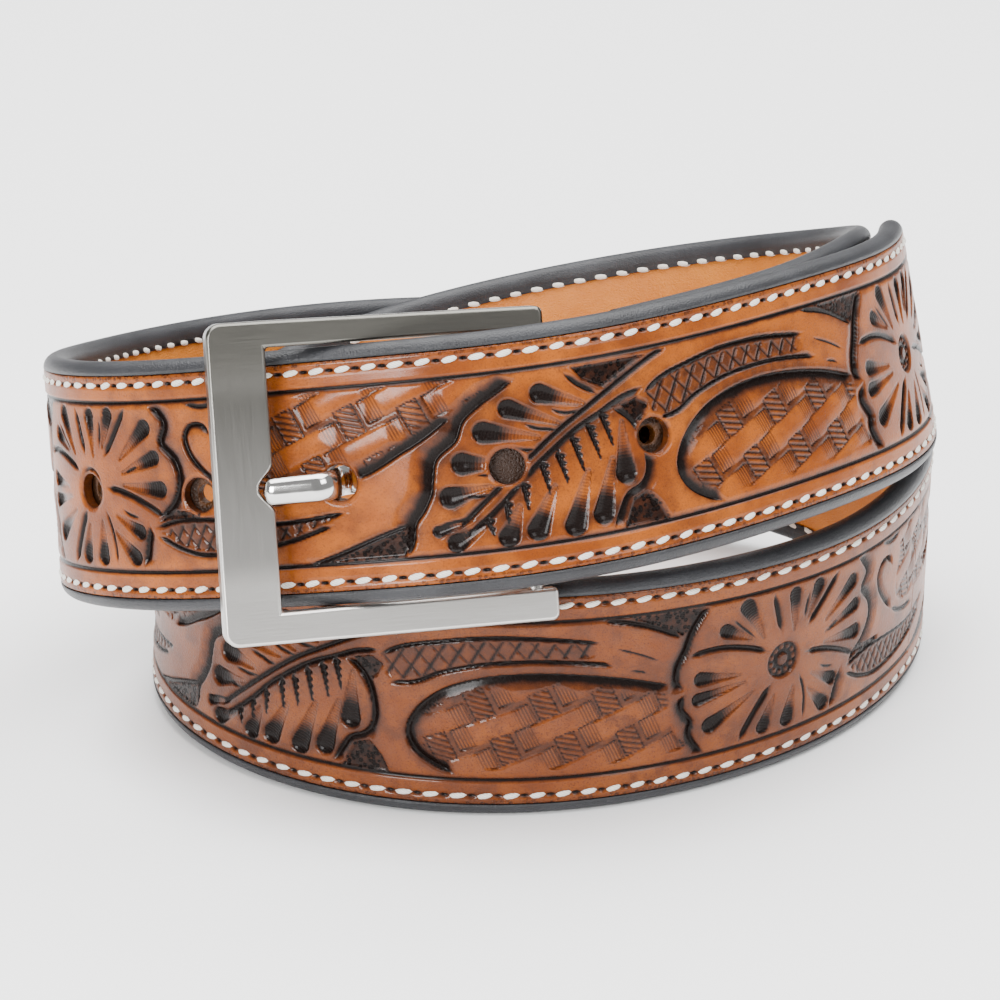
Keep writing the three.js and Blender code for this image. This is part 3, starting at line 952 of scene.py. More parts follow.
@dataclass(frozen=True)
class BasketStamp:
    """The basket weave's lattice: ropes, each with a bar beside it that is lined at its ends.

    Places on the lattice are a along the bars and b across them. Half sizes are (a, b).
    """

    ahead: Spot = (0.93, 0.37)
    down: Spot = (0.42, -0.91)
    next_column: Spot = (9.5, 0)
    next_row: Spot = (3.9, -7.2)
    columns: range = range(-6, 7)
    rows: range = range(-3, 4)
    to_bar: Spot = (2.2, -3.7)
    bar_half: Spot = (6.2, 1.86)
    lines_from: float = 3.4
    rope_half: Spot = (1.6, 2.35)
    twist: float = 1.1
    ground_drop: float = 0.22
    ground_dye: float = 0.4

    def bar(self, a: Array, b: Array) -> Arrays:
        """Where a bar lies, its drop, its dye, and its lines.

        Args:
            a: places along the bar.
            b: places across it.

        Returns:
            A mask and three arrays.
        """
        on = (np.abs(a) < self.bar_half[0]) & (np.abs(b) < self.bar_half[1])
        edge = within((self.bar_half[1] - np.abs(b)) / 0.3)
        end = ease((np.abs(a) - 3.0) / 2.6)
        drop = 0.02 + 0.1 * (b / 1.8) ** 2 + 0.26 * end + 0.2 * (1 - edge)
        dye = 0.08 * end + (0.2 + 0.6 * end) * (1 - edge)
        return on, drop, dye, within((np.abs(a) - self.lines_from) / 0.25) * edge

    def rope(self, a: Array, b: Array) -> Arrays:
        """Where a rope lies, its drop and its dye.

        Args:
            a: places across the rope.
            b: places along it.

        Returns:
            A mask and two arrays.
        """
        on = (np.abs(a) < self.rope_half[0]) & (np.abs(b) < self.rope_half[1])
        sides = within((self.rope_half[0] - np.abs(a)) / 0.3)
        edge = sides * within((self.rope_half[1] - np.abs(b)) / 0.2)
        twist = 0.5 + 0.5 * np.cos((b - 0.75 * a) * 2 * math.pi / self.twist)
        drop = 0.08 + 0.24 * (1 - twist) + 0.34 * (1 - edge)
        return on, drop, np.maximum(1.0 * (1 - edge), 0.12 + 0.55 * (1 - twist) ** 2)

    def press(self, rope: Spot, u: Array, w: Array) -> Arrays:
        """Stamps the whole lattice.

        Args:
            rope: place of one rope.
            u: places of the cells along the strap.
            w: places across it.

        Returns:
            Drop, dye, lines and phase of each cell.
        """
        turn = np.linalg.inv(np.stack([np.array(self.ahead), np.array(self.down)], 1))
        drop = np.full(u.shape, self.ground_drop)
        dye = np.full(u.shape, self.ground_dye)
        lines, phase = np.zeros(u.shape), np.zeros(u.shape)
        for k in self.columns:
            for m in self.rows:
                spot = np.array(rope) + k * np.array(self.next_column) + m * np.array(self.next_row)
                beside = spot + np.array(self.to_bar)
                a, b = np.tensordot(turn, np.stack([u - beside[0], w - beside[1]]), 1)
                on, new_drop, new_dye, stroke = self.bar(a, b)
                drop, dye = np.where(on, new_drop, drop), np.where(on, new_dye, dye)
                lines, phase = np.where(on, stroke, lines), np.where(on, a, phase)
                a, b = np.tensordot(turn, np.stack([u - spot[0], w - spot[1]]), 1)
                on, new_drop, new_dye = self.rope(a, b)
                drop, dye = np.where(on, new_drop, drop), np.where(on, new_dye, dye)
                lines = np.where(on, 0, lines)
        return drop, dye, lines, phase


class Relief:
    """Height, dye and texture of one repeat of the tooling, pressed shape by shape on a raster."""

    CELL = 0.1
    WALL = 0.26
    TAPER = 2.2
    WIDE_CUT = 1.3
    RIB_PITCH = 1.1

    def __init__(self, repeat: float, half: float) -> None:
        """Starts with plain leather.

        Args:
            repeat: length of one repeat.
            half: half of the tooled width.
        """
        self.repeat = repeat
        self.half = half
        self.columns = round(repeat / self.CELL)
        self.rows = round(2 * half / self.CELL) + 1
        self.w = np.linspace(-half, half, self.rows)
        blank = np.zeros((self.columns, self.rows))
        self.height, self.dye, self.stipple = blank.copy(), blank.copy(), blank.copy()
        self.lines, self.phase = blank.copy(), blank.copy()

    def window(self, points: Array, margin: float) -> tuple[tuple, Array, Array]:
        """Part of the raster round some points, also across the repeat's ends.

        Args:
            points: the points to take in.
            margin: how far past them.

        Returns:
            The index of the window's cells, and their places u and w.
        """
        low = points.min(0) - margin
        high = points.max(0) + margin
        step = self.repeat / self.columns
        numbers = np.arange(math.floor(low[0] / step), math.ceil(high[0] / step) + 1)
        rows = np.arange(*np.searchsorted(self.w, [low[1], high[1]]))
        u, w = np.meshgrid(numbers * step, self.w[rows], indexing="ij")
        return np.ix_(numbers % self.columns, rows), u, w

    def nearest(self, line: Array, u: Array, w: Array) -> Arrays:
        """Distance from each cell to a line of points.

        Args:
            line: the line's points.
            u: places of the cells along the strap.
            w: places across it.

        Returns:
            The distance, the side (1 on the left), and how far along the line its nearest point is.
        """
        best, side, along = np.full(u.shape, 1e9), np.ones(u.shape), np.zeros(u.shape)
        run = 0.0
        for a, b in zip(line[:-1], line[1:]):
            d = b - a
            size = max(math.hypot(*d), 1e-6)
            t = np.clip(((u - a[0]) * d[0] + (w - a[1]) * d[1]) / size**2, 0, 1)
            gap = np.hypot(u - a[0] - t * d[0], w - a[1] - t * d[1])
            closer = gap < best
            best = np.where(closer, gap, best)
            side = np.where(closer, np.sign(d[0] * (w - a[1]) - d[1] * (u - a[0])), side)
            along = np.where(closer, run + t * size, along)
            run += size
        return best, side, along

    def inside(self, outline: Array, u: Array, w: Array) -> Array:
        """Distance inside a closed outline, negative outside it.

        Args:
            outline: its points.
            u: places of the cells along the strap.
            w: places across it.

        Returns:
            The distances.
        """
        closed = np.concatenate([outline, outline[:1]])
        gap, _, _ = self.nearest(closed, u, w)
        crossed = np.zeros(u.shape, bool)
        for a, b in zip(closed[:-1], closed[1:]):
            if a[1] == b[1]:
                continue
            spans = (a[1] > w) != (b[1] > w)
            crossed ^= spans & (u < a[0] + (w - a[1]) * (b[0] - a[0]) / (b[1] - a[1]))
        return np.where(crossed, gap, -gap)

    def press(self, place: tuple, drop: Array, dye: Array) -> None:
        """Presses a window's cells down, where they aren't lower yet, and darkens them."""
        self.height[place] = np.minimum(self.height[place], -drop)
        self.dye[place] = np.maximum(self.dye[place], dye)

    def add_cut(self, cut: Cut) -> None:
        """Cuts a line, tapered at its ends, bevels its side and clears the ribs under it.

        Args:
            cut: the cut.
        """
        line = smooth_line(cut.points)
        length = np.linalg.norm(np.diff(line, axis=0), axis=1).sum()
        place, u, w = self.window(line, cut.reach + 0.5)
        gap, side, along = self.nearest(line, u, w)
        to_end = np.minimum(along, length - along)
        taper = 0.15 + 0.85 * ease(to_end / min(self.TAPER, 0.4 * length))
        one_sided = cut.side is not Side.BOTH
        reach = np.where(side == cut.side.value, cut.reach, self.WALL) if one_sided else cut.reach
        fall = within(1 - gap / (reach * taper))
        soft = 1.4 if one_sided and cut.reach > self.WIDE_CUT else 1.0
        self.press(place, cut.depth * taper * fall**1.4, within(1.35 * fall**soft * taper))
        self.lines[place] *= 1 - within(3 * fall * taper)

    def add_scoop(self, scoop: Scoop) -> None:
        """Presses a thumbprint, deepest and darkest at its wide end, with fine ribs across it.

        Args:
            scoop: the thumbprint.
        """
        wide, narrow = np.array(scoop.wide), np.array(scoop.narrow)
        d = narrow[:2] - wide[:2]
        length = math.hypot(*d)
        place, u, w = self.window(np.stack([wide[:2], narrow[:2]]), wide[2] + 0.4)
        t = ((u - wide[0]) * d[0] + (w - wide[1]) * d[1]) / length**2
        clipped = within(t)
        gap = np.hypot(u - wide[0] - clipped * d[0], w - wide[1] - clipped * d[1])
        radius = wide[2] + (narrow[2] - wide[2]) * clipped
        over = np.sign((u - wide[0]) * -d[1] + (w - wide[1]) * d[0]) == np.sign(scoop.ragged)
        teeth = abs(scoop.ragged) * np.sin(t * length * 2 * math.pi / self.RIB_PITCH)
        radius = radius * (1 + np.where(over, teeth, 0))
        fall = within(1 - (gap / radius) ** 2)
        fade = 1 - scoop.fade * ease((clipped - 0.02) / 0.66)
        self.press(place, scoop.depth * (1 - 0.75 * clipped) * fall**0.6, ease(fall * 2.6) * fade)
        mask = ease(fall * 2.5) * 0.42
        stronger = mask > self.lines[place]
        self.lines[place] = np.where(stronger, mask, self.lines[place])
        self.phase[place] = np.where(stronger, t * length, self.phase[place])

    def add_matted(self, area: Matted) -> None:
        """Presses a background area down and stipples it.

        Args:
            area: the area.
        """
        outline = np.array(area.outline, float)
        place, u, w = self.window(outline, 0.3)
        fall = ease(self.inside(outline, u, w) / 0.5)
        self.press(place, area.depth * fall, 0.66 * fall)
        self.stipple[place] = np.maximum(self.stipple[place], fall)
        self.lines[place] *= 1 - fall

    def add_scales(self, area: Scales) -> None:
        """Cuts crossed lines inside an outline, a little lower than the leather round it.

        Args:
            area: the band.
        """
        outline = smooth_outline(area.outline)
        place, u, w = self.window(outline, 0.3)
        fall = ease(self.inside(outline, u, w) / 0.6)
        groove = np.zeros(u.shape)
        for slope, wide in ((1.7, 0.42), (-1.15, 0.26)):
            wave = (w - slope * u) / math.hypot(1, slope) / area.pitch * 1.4
            near = np.abs(wave - np.round(wave)) * area.pitch / 1.4
            groove = np.maximum(groove, within(1 - near / wide) * (0.6 + wide))
        self.press(place, 0.22 * fall + 0.3 * groove * fall, fall * (0.28 + 0.55 * groove))

    def add_weave(self, area: Weave) -> None:
        """Stamps a basket weave inside an outline.

        Args:
            area: the area.
        """
        outline = smooth_outline(area.outline)
        place, u, w = self.window(outline, 0.3)
        fall = ease(self.inside(outline, u, w) / 0.4)
        drop, dye, lines, phase = BasketStamp().press(area.rope, u, w)
        self.press(place, drop * fall, dye * fall)
        self.lines[place] = np.maximum(self.lines[place], lines * fall)
        self.phase[place] = np.where(fall > 0, phase, self.phase[place])

    def add_seeds(self, radius: float, count: int = 11) -> None:
        """Presses a flower's round centre at (0, 0): a ring of seeds round a button.

        Args:
            radius: the centre's radius.
            count: how many seeds.
        """
        place, u, w = self.window(np.zeros((1, 2)), radius + 0.6)
        gap = np.hypot(u, w)
        seed = within(1 - np.abs(gap - 0.68 * radius) / (0.22 * radius))
        seed = seed * (0.5 + 0.5 * np.cos(np.arctan2(w, u) * count)) ** 0.5
        raised = np.maximum(seed, within((0.36 * radius - gap) / 0.25))
        bowl = ease((radius - gap) / 0.5)
        for raster, value in (
            (self.height, -bowl * (0.62 - 0.42 * raised)),
            (self.dye, bowl * (0.9 - 0.7 * raised)),
            (self.lines, 0),
        ):
            raster[place] = np.where(bowl > 0, value, raster[place])

    def spread(self, reach: float, share: float) -> None:
        """Smudges the dye over the leather round it, as antiquing paste leaves it.

        Args:
            reach: how far the smudge reaches.
            share: its strength.
        """
        cells = round(reach / self.repeat * self.columns)
        soft = self.dye
        for axis in (0, 1, 0, 1):
            shifts = range(-cells, cells + 1)
            soft = sum(np.roll(soft, k, axis) for k in shifts) / len(shifts)
        self.dye = np.maximum(self.dye, share * soft)

    def add(self, shapes: tuple[Cut | Scoop | Matted | Weave | Scales, ...]) -> None:
        """Presses shapes in order."""
        calls = {Cut: self.add_cut, Scoop: self.add_scoop, Matted: self.add_matted}
        calls |= {Weave: self.add_weave, Scales: self.add_scales}
        for shape in shapes:
            calls[type(shape)](shape)

    def read(self, raster: Array, u: Array, w: Array) -> Array:
        """Reads a raster between its cells, and round the repeat.

        Args:
            raster: one of the rasters.
            u: places along the strap.
            w: places across it.

        Returns:
            The values there.
        """
        x = np.mod(u, self.repeat) / self.repeat * self.columns
        y = (w + self.half) / (2 * self.half) * (self.rows - 1)
        y = np.clip(y, 0, self.rows - 1.001)
        i, j = np.floor(x).astype(int), np.floor(y).astype(int)
        fx, fy = x - i, y - j
        i0, i1 = i % self.columns, (i + 1) % self.columns
        low = raster[i0, j] * (1 - fx) + raster[i1, j] * fx
        high = raster[i0, j + 1] * (1 - fx) + raster[i1, j + 1] * fx
        return low * (1 - fy) + high * fy


def thumbprints(*ends: tuple[Vec, Vec], depth: float = 0.6) -> tuple[Scoop, ...]:
    """Thumbprints of one depth, each from its wide end and its narrow end."""
    return tuple(Scoop(wide, narrow, depth) for wide, narrow in ends)


L, R, B = Side.LEFT, Side.RIGHT, Side.BOTH

FLOWER = (
    Cut(
        ((-13.5, 12.8), (-16, 9), (-17.2, 5.6), (-18.4, 3), (-18.6, 0.6), (-17.2, -1.2)),
        R, 2.9, 0.85,
    ),
    Cut(((-17.2, -1.2), (-17.6, -4), (-15.8, -6.6), (-15.9, -9), (-13.4, -12.8)), R, 2.8, 0.85),
    Cut(
        ((15.5, 12.6), (18.2, 9.6), (17.2, 6.6), (19.6, 4), (20.3, 1), (18.8, -2.2), (15.5, -4.6)),
        L, 2.8, 0.85,
    ),
    Cut(((13.6, -5.2), (12.6, -8), (11.4, -12.4)), L, 2.5, 0.8),
    Cut(((-3, 2.2), (-7, 3.9), (-12, 5), (-17.5, 4.6)), B, 0.75, 0.6),
    Cut(((-0.8, 4.6), (-1.9, 8.6), (-3, 12.4)), B, 0.7, 0.6),
    Cut(((4.2, 4.4), (7.3, 8), (10.8, 12.4)), B, 0.8, 0.6),
    Cut(((4.2, 0.1), (9, -0.8), (14, -2.8), (17.4, -4.8)), B, 0.75, 0.6),
    Cut(((-1.8, -3.2), (-4.8, -7.5), (-7.7, -12.4)), B, 0.95, 0.65),
    Cut(((3.4, -3), (5, -7.2), (5.4, -12.2)), B, 0.35, 0.4),
    Cut(((-10.4, 9.8), (-8, 7.4), (-5.3, 4.9)), B, 0.28, 0.35),
    Cut(((4.2, 10.8), (3.8, 8), (3.4, 5.6)), B, 0.4, 0.4),
    Cut(((12.6, 3.4), (10.4, 2.7), (8.6, 2)), B, 0.3, 0.35),
    Cut(((12, -4.6), (9.4, -4), (7.6, -3)), B, 0.3, 0.35),
    *thumbprints(
        ((-14.8, 0.4, 1.3), (-8.2, -0.4, 0.3)),
        ((-15.1, -3, 1.2), (-7.2, -1.8, 0.3)),
        ((-12.8, -7.8, 1.5), (-5.6, -3.9, 0.3)),
        ((-11, 7.7, 1.25), (-6.6, 5.4, 0.3)),
        ((-7.5, 10.9, 1.45), (-4.2, 5, 0.3)),
        ((1.3, 10.9, 1.25), (1.6, 4.8, 0.3)),
        ((6.2, 11, 1.3), (4.3, 6.2, 0.3)),
        ((14.4, 9, 1.45), (8.4, 4.4, 0.3)),
        ((15.8, 4.5, 1.3), (8.7, 2.3, 0.3)),
        ((16.6, -0.3, 1.4), (8.8, 0.4, 0.35)),
        ((11.4, -6.7, 1.25), (6.4, -4.2, 0.3)),
        ((9.8, -10.6, 1.4), (5.8, -6.8, 0.3)),
        ((-3, -10.7, 1.35), (-1.4, -5.8, 0.3)),
        ((1.8, -10.7, 1.45), (2.4, -5.2, 0.3)),
    ),
)

CURL = (
    Matted(((17.2, -3.2), (20, -3.4), (24.5, -3.6), (24, -5), (18, -5), (15, -5.6))),
    Scales(
        ((15.5, -6.6), (20, -5.4), (26, -5.4), (38, -6.5), (48.4, -5.6), (38, -9.2), (26, -10.2),
         (20, -9.2)),
        2.6,
    ),
    Cut(((14.6, -6), (20, -4.9), (26, -5), (38, -6.2), (48.8, -5.3)), R, 0.9, 0.65),
    Cut(((14.8, -7.2), (20, -9.6), (26, -10.6), (38, -9.5), (46.6, -7.2)), L, 0.9, 0.65),
    Cut(
        ((27.6, 7), (26.3, 9.1), (23.6, 9.2), (22.3, 7.2), (23.2, 4.3), (25.6, 1.6), (28.6, -0.8)),
        L, 1.5, 0.75,
    ),
    Cut(((28.6, -0.8), (31.5, -2.4), (35.5, -3.4), (40, -3.6)), L, 1.0, 0.5),
    Cut(((22.6, 12.4), (26.5, 11.6), (30, 12.4)), L, 0.9, 0.4),
)

POINTED_LEAF = (
    Weave(
        ((29, 12.4), (30.5, 8), (29.5, 3.4), (31, 0.2), (36, -1.4), (50.6, -0.8), (60, 4),
         (67, 8.4), (72, 12.4)),
        (50.3, 7.7),
    ),
    Cut(((48.6, -1.2), (53, 0.2), (57, 2.3), (61, 4.4), (65.4, 7.4)), L, 2.8, 0.85),
    Matted(((43, -12.9), (48, -11.5), (53, -9.6), (58.8, -7.8), (58, -10.5), (56.8, -12.9))),
    Cut(((41.5, -12.9), (47, -11.3), (52.5, -9.4), (58.6, -7.5)), R, 1.2, 0.7),
)

LEAF_EDGE = (
    (74.8, 11.5), (71.4, 9.6), (68.9, 8.1), (66.6, 6.2), (65.3, 3.5), (62.4, 1.2), (61.6, -1.8),
    (61.2, -3.8),
)
LEAF_FOOT = ((61.2, -3.8), (59.9, -6.2), (58.5, -8.1), (58.1, -10.5), (56.9, -12.9))

LEAF = (
    Cut(LEAF_EDGE + LEAF_FOOT[1:], R, 3.4, 1.0),
    Cut(
        ((64.2, -9.6), (69.4, -5.2), (75.3, -0.4), (80.1, 3.1), (85, 5.9), (90, 8.6), (95, 10.9),
         (99, 12.3)),
        L, 1.0, 0.65,
    ),
    Cut(
        ((64.4, -11), (70.3, -6.5), (75.1, -2), (79.5, 1.3), (82.8, 3.4), (86.2, 4.9), (90, 6.6),
         (94, 7.4)),
        R, 1.2, 0.7,
    ),
    Matted(((82.6, 12.3), (84.4, 9.8), (87.6, 8.1), (91.5, 10), (96, 12.2))),
    Cut(((81.4, 11.8), (83.6, 9.4), (86.9, 7.3)), L, 0.9, 0.6),
    Cut(
        ((88.2, 5.3), (91, 2.8), (92.4, -0.8), (92.6, -4.4), (91.4, -6.5), (89, -7.6), (87.6, -9.7),
         (86.1, -12.6)),
        L, 2.2, 0.95,
    ),
    Matted(((89.6, -8.4), (92.2, -7.4), (94.2, -9.8), (95.6, -12.9), (87.4, -12.9))),
    Matted(((89.4, 5.6), (92.6, 6.3), (94.6, 5), (93.6, 2.8), (92.4, 1.6))),
    *thumbprints(
        ((78.0, 9.0, 1.6), (84.2, 6.6, 0.35)),
        ((73.2, 7.4, 1.55), (80.4, 4.2, 0.35)),
        ((69.4, 4.4, 1.75), (77, 2.7, 0.4)),
        ((66.0, 0.2, 1.8), (71.6, -0.6, 0.5)),
        ((63.8, -4.5, 1.75), (69.8, -3.6, 0.35)),
        ((64.1, -11.2, 1.55), (68.2, -9.2, 0.35)),
        depth=0.8,
    ),
    Scoop((61.7, -9.3, 0.95), (66.6, -8, 0.25), 0.55),
    *thumbprints(
        ((71.3, -11.2, 1.6), (73.2, -7, 0.5)),
        ((75.4, -10.7, 1.7), (78.4, -4.8, 0.5)),
        ((80.7, -10.9, 1.7), (83.5, -3.4, 0.5)),
        ((85, -9.9, 1.7), (87.4, -2.2, 0.45)),
        ((89.2, -4.6, 1.75), (89.6, 3, 0.35)),
        depth=0.8,
    ),
    *(
        Scoop((u, w, 0.62), (u + du, w + dw, 0.16), 0.6, 0.15, ragged)
        for u, w, du, dw, ragged in (
            (68.8, -8.4, 0.5, -2.2, 0.5),
            (71.6, -6.2, -0.1, -3.0, 0.5),
            (74.3, -3.9, 0.1, -3.5, 0.5),
            (77.2, -1.3, 0.5, -4.3, 0.5),
            (79.7, -0.3, 0.7, -4.2, 0.5),
            (82.1, 1.6, 0.8, -4.6, 0.5),
            (84.7, 3.0, 0.9, -4.8, 0.5),
            (86.9, 4.3, 0.8, -4.4, 0.5),
        )
    ),
    Cut(((84.4, 5.7), (82, 5.6), (80.5, 5.9), (78.8, 6.9)), B, 0.36, 0.4),
    Cut(((80.6, 3.3), (78.5, 3.7), (76.8, 4.1), (74.6, 5.3)), B, 0.36, 0.4),
    Cut(((77.2, 1.3), (75.1, 1.1), (73.5, 1.6), (70.4, 2.2)), B, 0.4, 0.4),
    Cut(((73.6, -1.6), (71.4, -1.9), (69.2, -1.8), (67.0, -1.6)), B, 0.32, 0.35),
    Cut(((70.2, -4.3), (68.2, -4.8), (66.6, -4.7), (64.6, -4.9)), B, 0.36, 0.4),
    Cut(((67.6, -7.1), (65.8, -7.8), (64, -8.1), (62.4, -8.5), (61.2, -9.6)), B, 0.36, 0.4),
)

SCROLL = (
    Weave(
        ((99.4, -2), (102.5, 0.8), (110, 3), (117, 3.6), (124, 3), (131, 1.6), (136.4, 0.2),
         (137.8, -4), (138.6, -8), (139.4, -11), (104, -11), (99.8, -7)),
        (108.3, -0.6),
    ),
    Matted(((129, 12.8), (134, 10.8), (139.6, 8), (141, 9.6), (143.6, 12.8)), 0.45),
    Cut(((126, 12.5), (133, 10.8), (139.6, 7.8)), L, 1.2, 0.6),
    Scales(
        ((94, 6.9), (97, 8.1), (102, 9.1), (108, 10), (114, 10.1), (120, 9.6), (125.4, 9),
         (124.9, 6.4), (118, 6.5), (111, 6.3), (105, 5.2), (100.4, 3.3), (96, 2.4), (94, 4.6)),
    ),
    Cut(
        ((93.4, 6.2), (97, 8.3), (102, 9.5), (108, 10.4), (114, 10.5), (120, 10), (126.4, 9)),
        R, 1.0, 0.75,
    ),
    Cut(
        ((94.6, 2), (99, 2.5), (103, 4.4), (109, 5.9), (116, 6.3), (122, 5.9), (128.6, 4.9)),
        L, 0.85, 0.75,
    ),
    Cut(
        ((138, 0.2), (131, 2.3), (124, 3.7), (117, 4.4), (110, 4), (104, 2.2), (100, -0.8),
         (98, -4), (97.8, -6.5), (99.2, -9), (102, -11), (105, -12.2)),
        L, 2.9, 1.0,
    ),
    Cut(((128, 8), (132, 6.5), (136, 4.6)), B, 0.22, 0.25),
    Cut(((130.5, 3.9), (132.6, 3.5), (134, 2.8)), B, 0.25, 0.25),
)

@dataclass
class Tooling:
    """The carved pattern: flower, curl, pointed leaf, leaf and scroll, repeated along the strap.

    The ruler's columns are length along the strap and length along the pattern, which the
    leather's stretch over the curves changes a little. The row hole_wear has how far each
    adjusting hole is worn along the strap and across it.
    """

    route: Route
    repeat: float = 157.6
    first: float = 740.0
    border: float = 13.0
    seeds: float = 3.2
    smudge: Spot = (1.2, 0.85)
    ruler: tuple[Spot, ...] = (
        *((0, 8.1), (320, 324.4), (372, 374.7), (407, 409.9), (423, 424.7)),
        *((455, 454.5), (720, 713.9), (775, 775), (945, 945)),
    )
    stitch_pitch: float = 3.94
    stitch_line: float = 15.5
    channel_half: float = 0.75
    channel_depth: float = 0.16
    channel_dye: float = 0.3
    stitch_hole: float = 0.62
    stitch_hole_depth: float = 0.5
    hole_radius: float = 2.65
    hole_drop: float = 0.7
    hole_pitch: float = 23.0
    hole_count: int = 5
    prong_hole_angle: float = 699.4
    hole_wear: tuple[Spot, ...] = ((0, 0), (-1, -0.7), (-1.3, -0.3), (0, -0.2), (-0.8, 0.7))
    rim_reach: float = 0.8
    rim_depth: float = 0.34
    rim_dye: float = 0.42
    border_bevel: float = 1.5
    border_wall: float = 0.26
    border_depth: float = 0.55
    dye_gain: float = 1.35
    margin_stipple: float = 0.9
    # Painted shade: below these lengths the lower strand darkens, standing in for the shade that
    # falls on it from the coil above.
    shade_until: float = 500.0
    shade_fade: float = 90.0
    lower_shade: float = 0.75
    margin_age: float = 0.35
    holes: list[Spot] = field(init=False)
    relief: Relief = field(init=False)

    def __post_init__(self) -> None:
        """Places the adjusting holes and presses the pattern once."""
        middle = self.route.length_at(self.prong_hole_angle)
        first = middle - (self.hole_count - 1) / 2 * self.hole_pitch
        self.holes = [
            (first + i * self.hole_pitch + ahead, up - self.hole_drop)
            for i, (ahead, up) in enumerate(self.hole_wear)
        ]
        self.relief = Relief(self.repeat, self.border)
        self.relief.add(POINTED_LEAF + SCROLL + FLOWER + CURL + LEAF)
        self.relief.add_seeds(self.seeds)
        self.relief.spread(*self.smudge)

    def pattern_at(self, s: Array) -> Array:
        """Length along the pattern at a length along the strap."""
        table = np.array(self.ruler)
        return np.interp(s, table[:, 0], table[:, 1])

    def strap_at(self, q: Array) -> Array:
        """Length along the strap at a length along the pattern."""
        table = np.array(self.ruler)
        return np.interp(q, table[:, 1], table[:, 0])

    def surface(self, s: Array, w: Array, tip: float) -> Fields:
        """Height, dye and textures of the face.

        Args:
            s: lengths along the strap.
            w: distances across it.
            tip: where the tip's half circle has its centre, along the strap.

        Returns:
            One array for each of height, dye, stipple, lines, phase, and age, which holds darker
            margins and a painted shade on the lower strand.
        """
        q = self.pattern_at(s)
        found = {
            name: self.relief.read(getattr(self.relief, name), q - self.first, w)
            for name in ("height", "dye", "stipple", "lines", "phase")
        }
        past = np.maximum(s - tip, 0)
        reach = np.hypot(past, w)
        gap = self.border - reach
        for name in ("height", "dye", "stipple", "lines"):
            found[name] = found[name] * ease(gap / 0.25)
        self.press_rims(found, s, w)
        bevel = within(1 - gap / self.border_bevel) ** 3
        line = np.where(gap > 0, bevel, within(1 + gap / self.border_wall))
        found["height"] = np.minimum(found["height"], -self.border_depth * line)
        found["dye"] = np.maximum(found["dye"], within(self.dye_gain * line))
        stipple = self.margin_stipple * ease((reach - self.stitch_line - 0.5) / 0.4)
        found["stipple"] = np.maximum(found["stipple"], stipple)
        # Painted shade on the lower strand, plus darker margins past the stitches.
        shade_below = self.lower_shade * ease((self.shade_until - s) / self.shade_fade)
        found["age"] = shade_below + self.margin_age * ease((reach - self.stitch_line - 0.4) / 0.6)
        round_tip = self.pattern_at(tip) + self.stitch_line * np.arctan2(past, np.abs(w))
        self.press_stitches(found, np.where(past > 0, round_tip, q), reach)
        return found

    def press_rims(self, found: Fields, s: Array, w: Array) -> None:
        """Presses and darkens the rims of the adjusting holes.

        Args:
            found: the surface so far, which it changes.
            s: lengths along the strap.
            w: distances across it.
        """
        for spot, level in self.holes:
            rim = np.hypot(s - spot, w - level) - self.hole_radius
            press = within(1 - rim / self.rim_reach) * (rim > -0.5)
            height = found["height"] * (1 - press)
            found["height"] = np.minimum(height, -self.rim_depth * press**1.6)
            found["dye"] = np.maximum(found["dye"] * (1 - press), self.rim_dye * press**2)
            found["lines"] = found["lines"] * (1 - press)

    def press_stitches(self, found: Fields, q: Array, reach: Array) -> None:
        """Presses the channel that the stitches lie in, and the holes they go through.

        Args:
            found: the surface so far, which it changes.
            q: lengths along the row of stitches.
            reach: distances from the strap's middle line.
        """
        side = np.abs(reach - self.stitch_line)
        channel = within(1 - side / self.channel_half)
        place = q / self.stitch_pitch
        ahead = (place - np.round(place)) * self.stitch_pitch
        hole = within(1 - np.hypot(0.62 * ahead, 1.5 * side) / self.stitch_hole)
        drop = self.channel_depth * ease(channel)
        found["height"] = found["height"] - drop - self.stitch_hole_depth * ease(hole)
        dye = np.maximum(self.channel_dye * channel, ease(self.dye_gain * hole))
        found["dye"] = np.maximum(found["dye"], dye)


# Strap


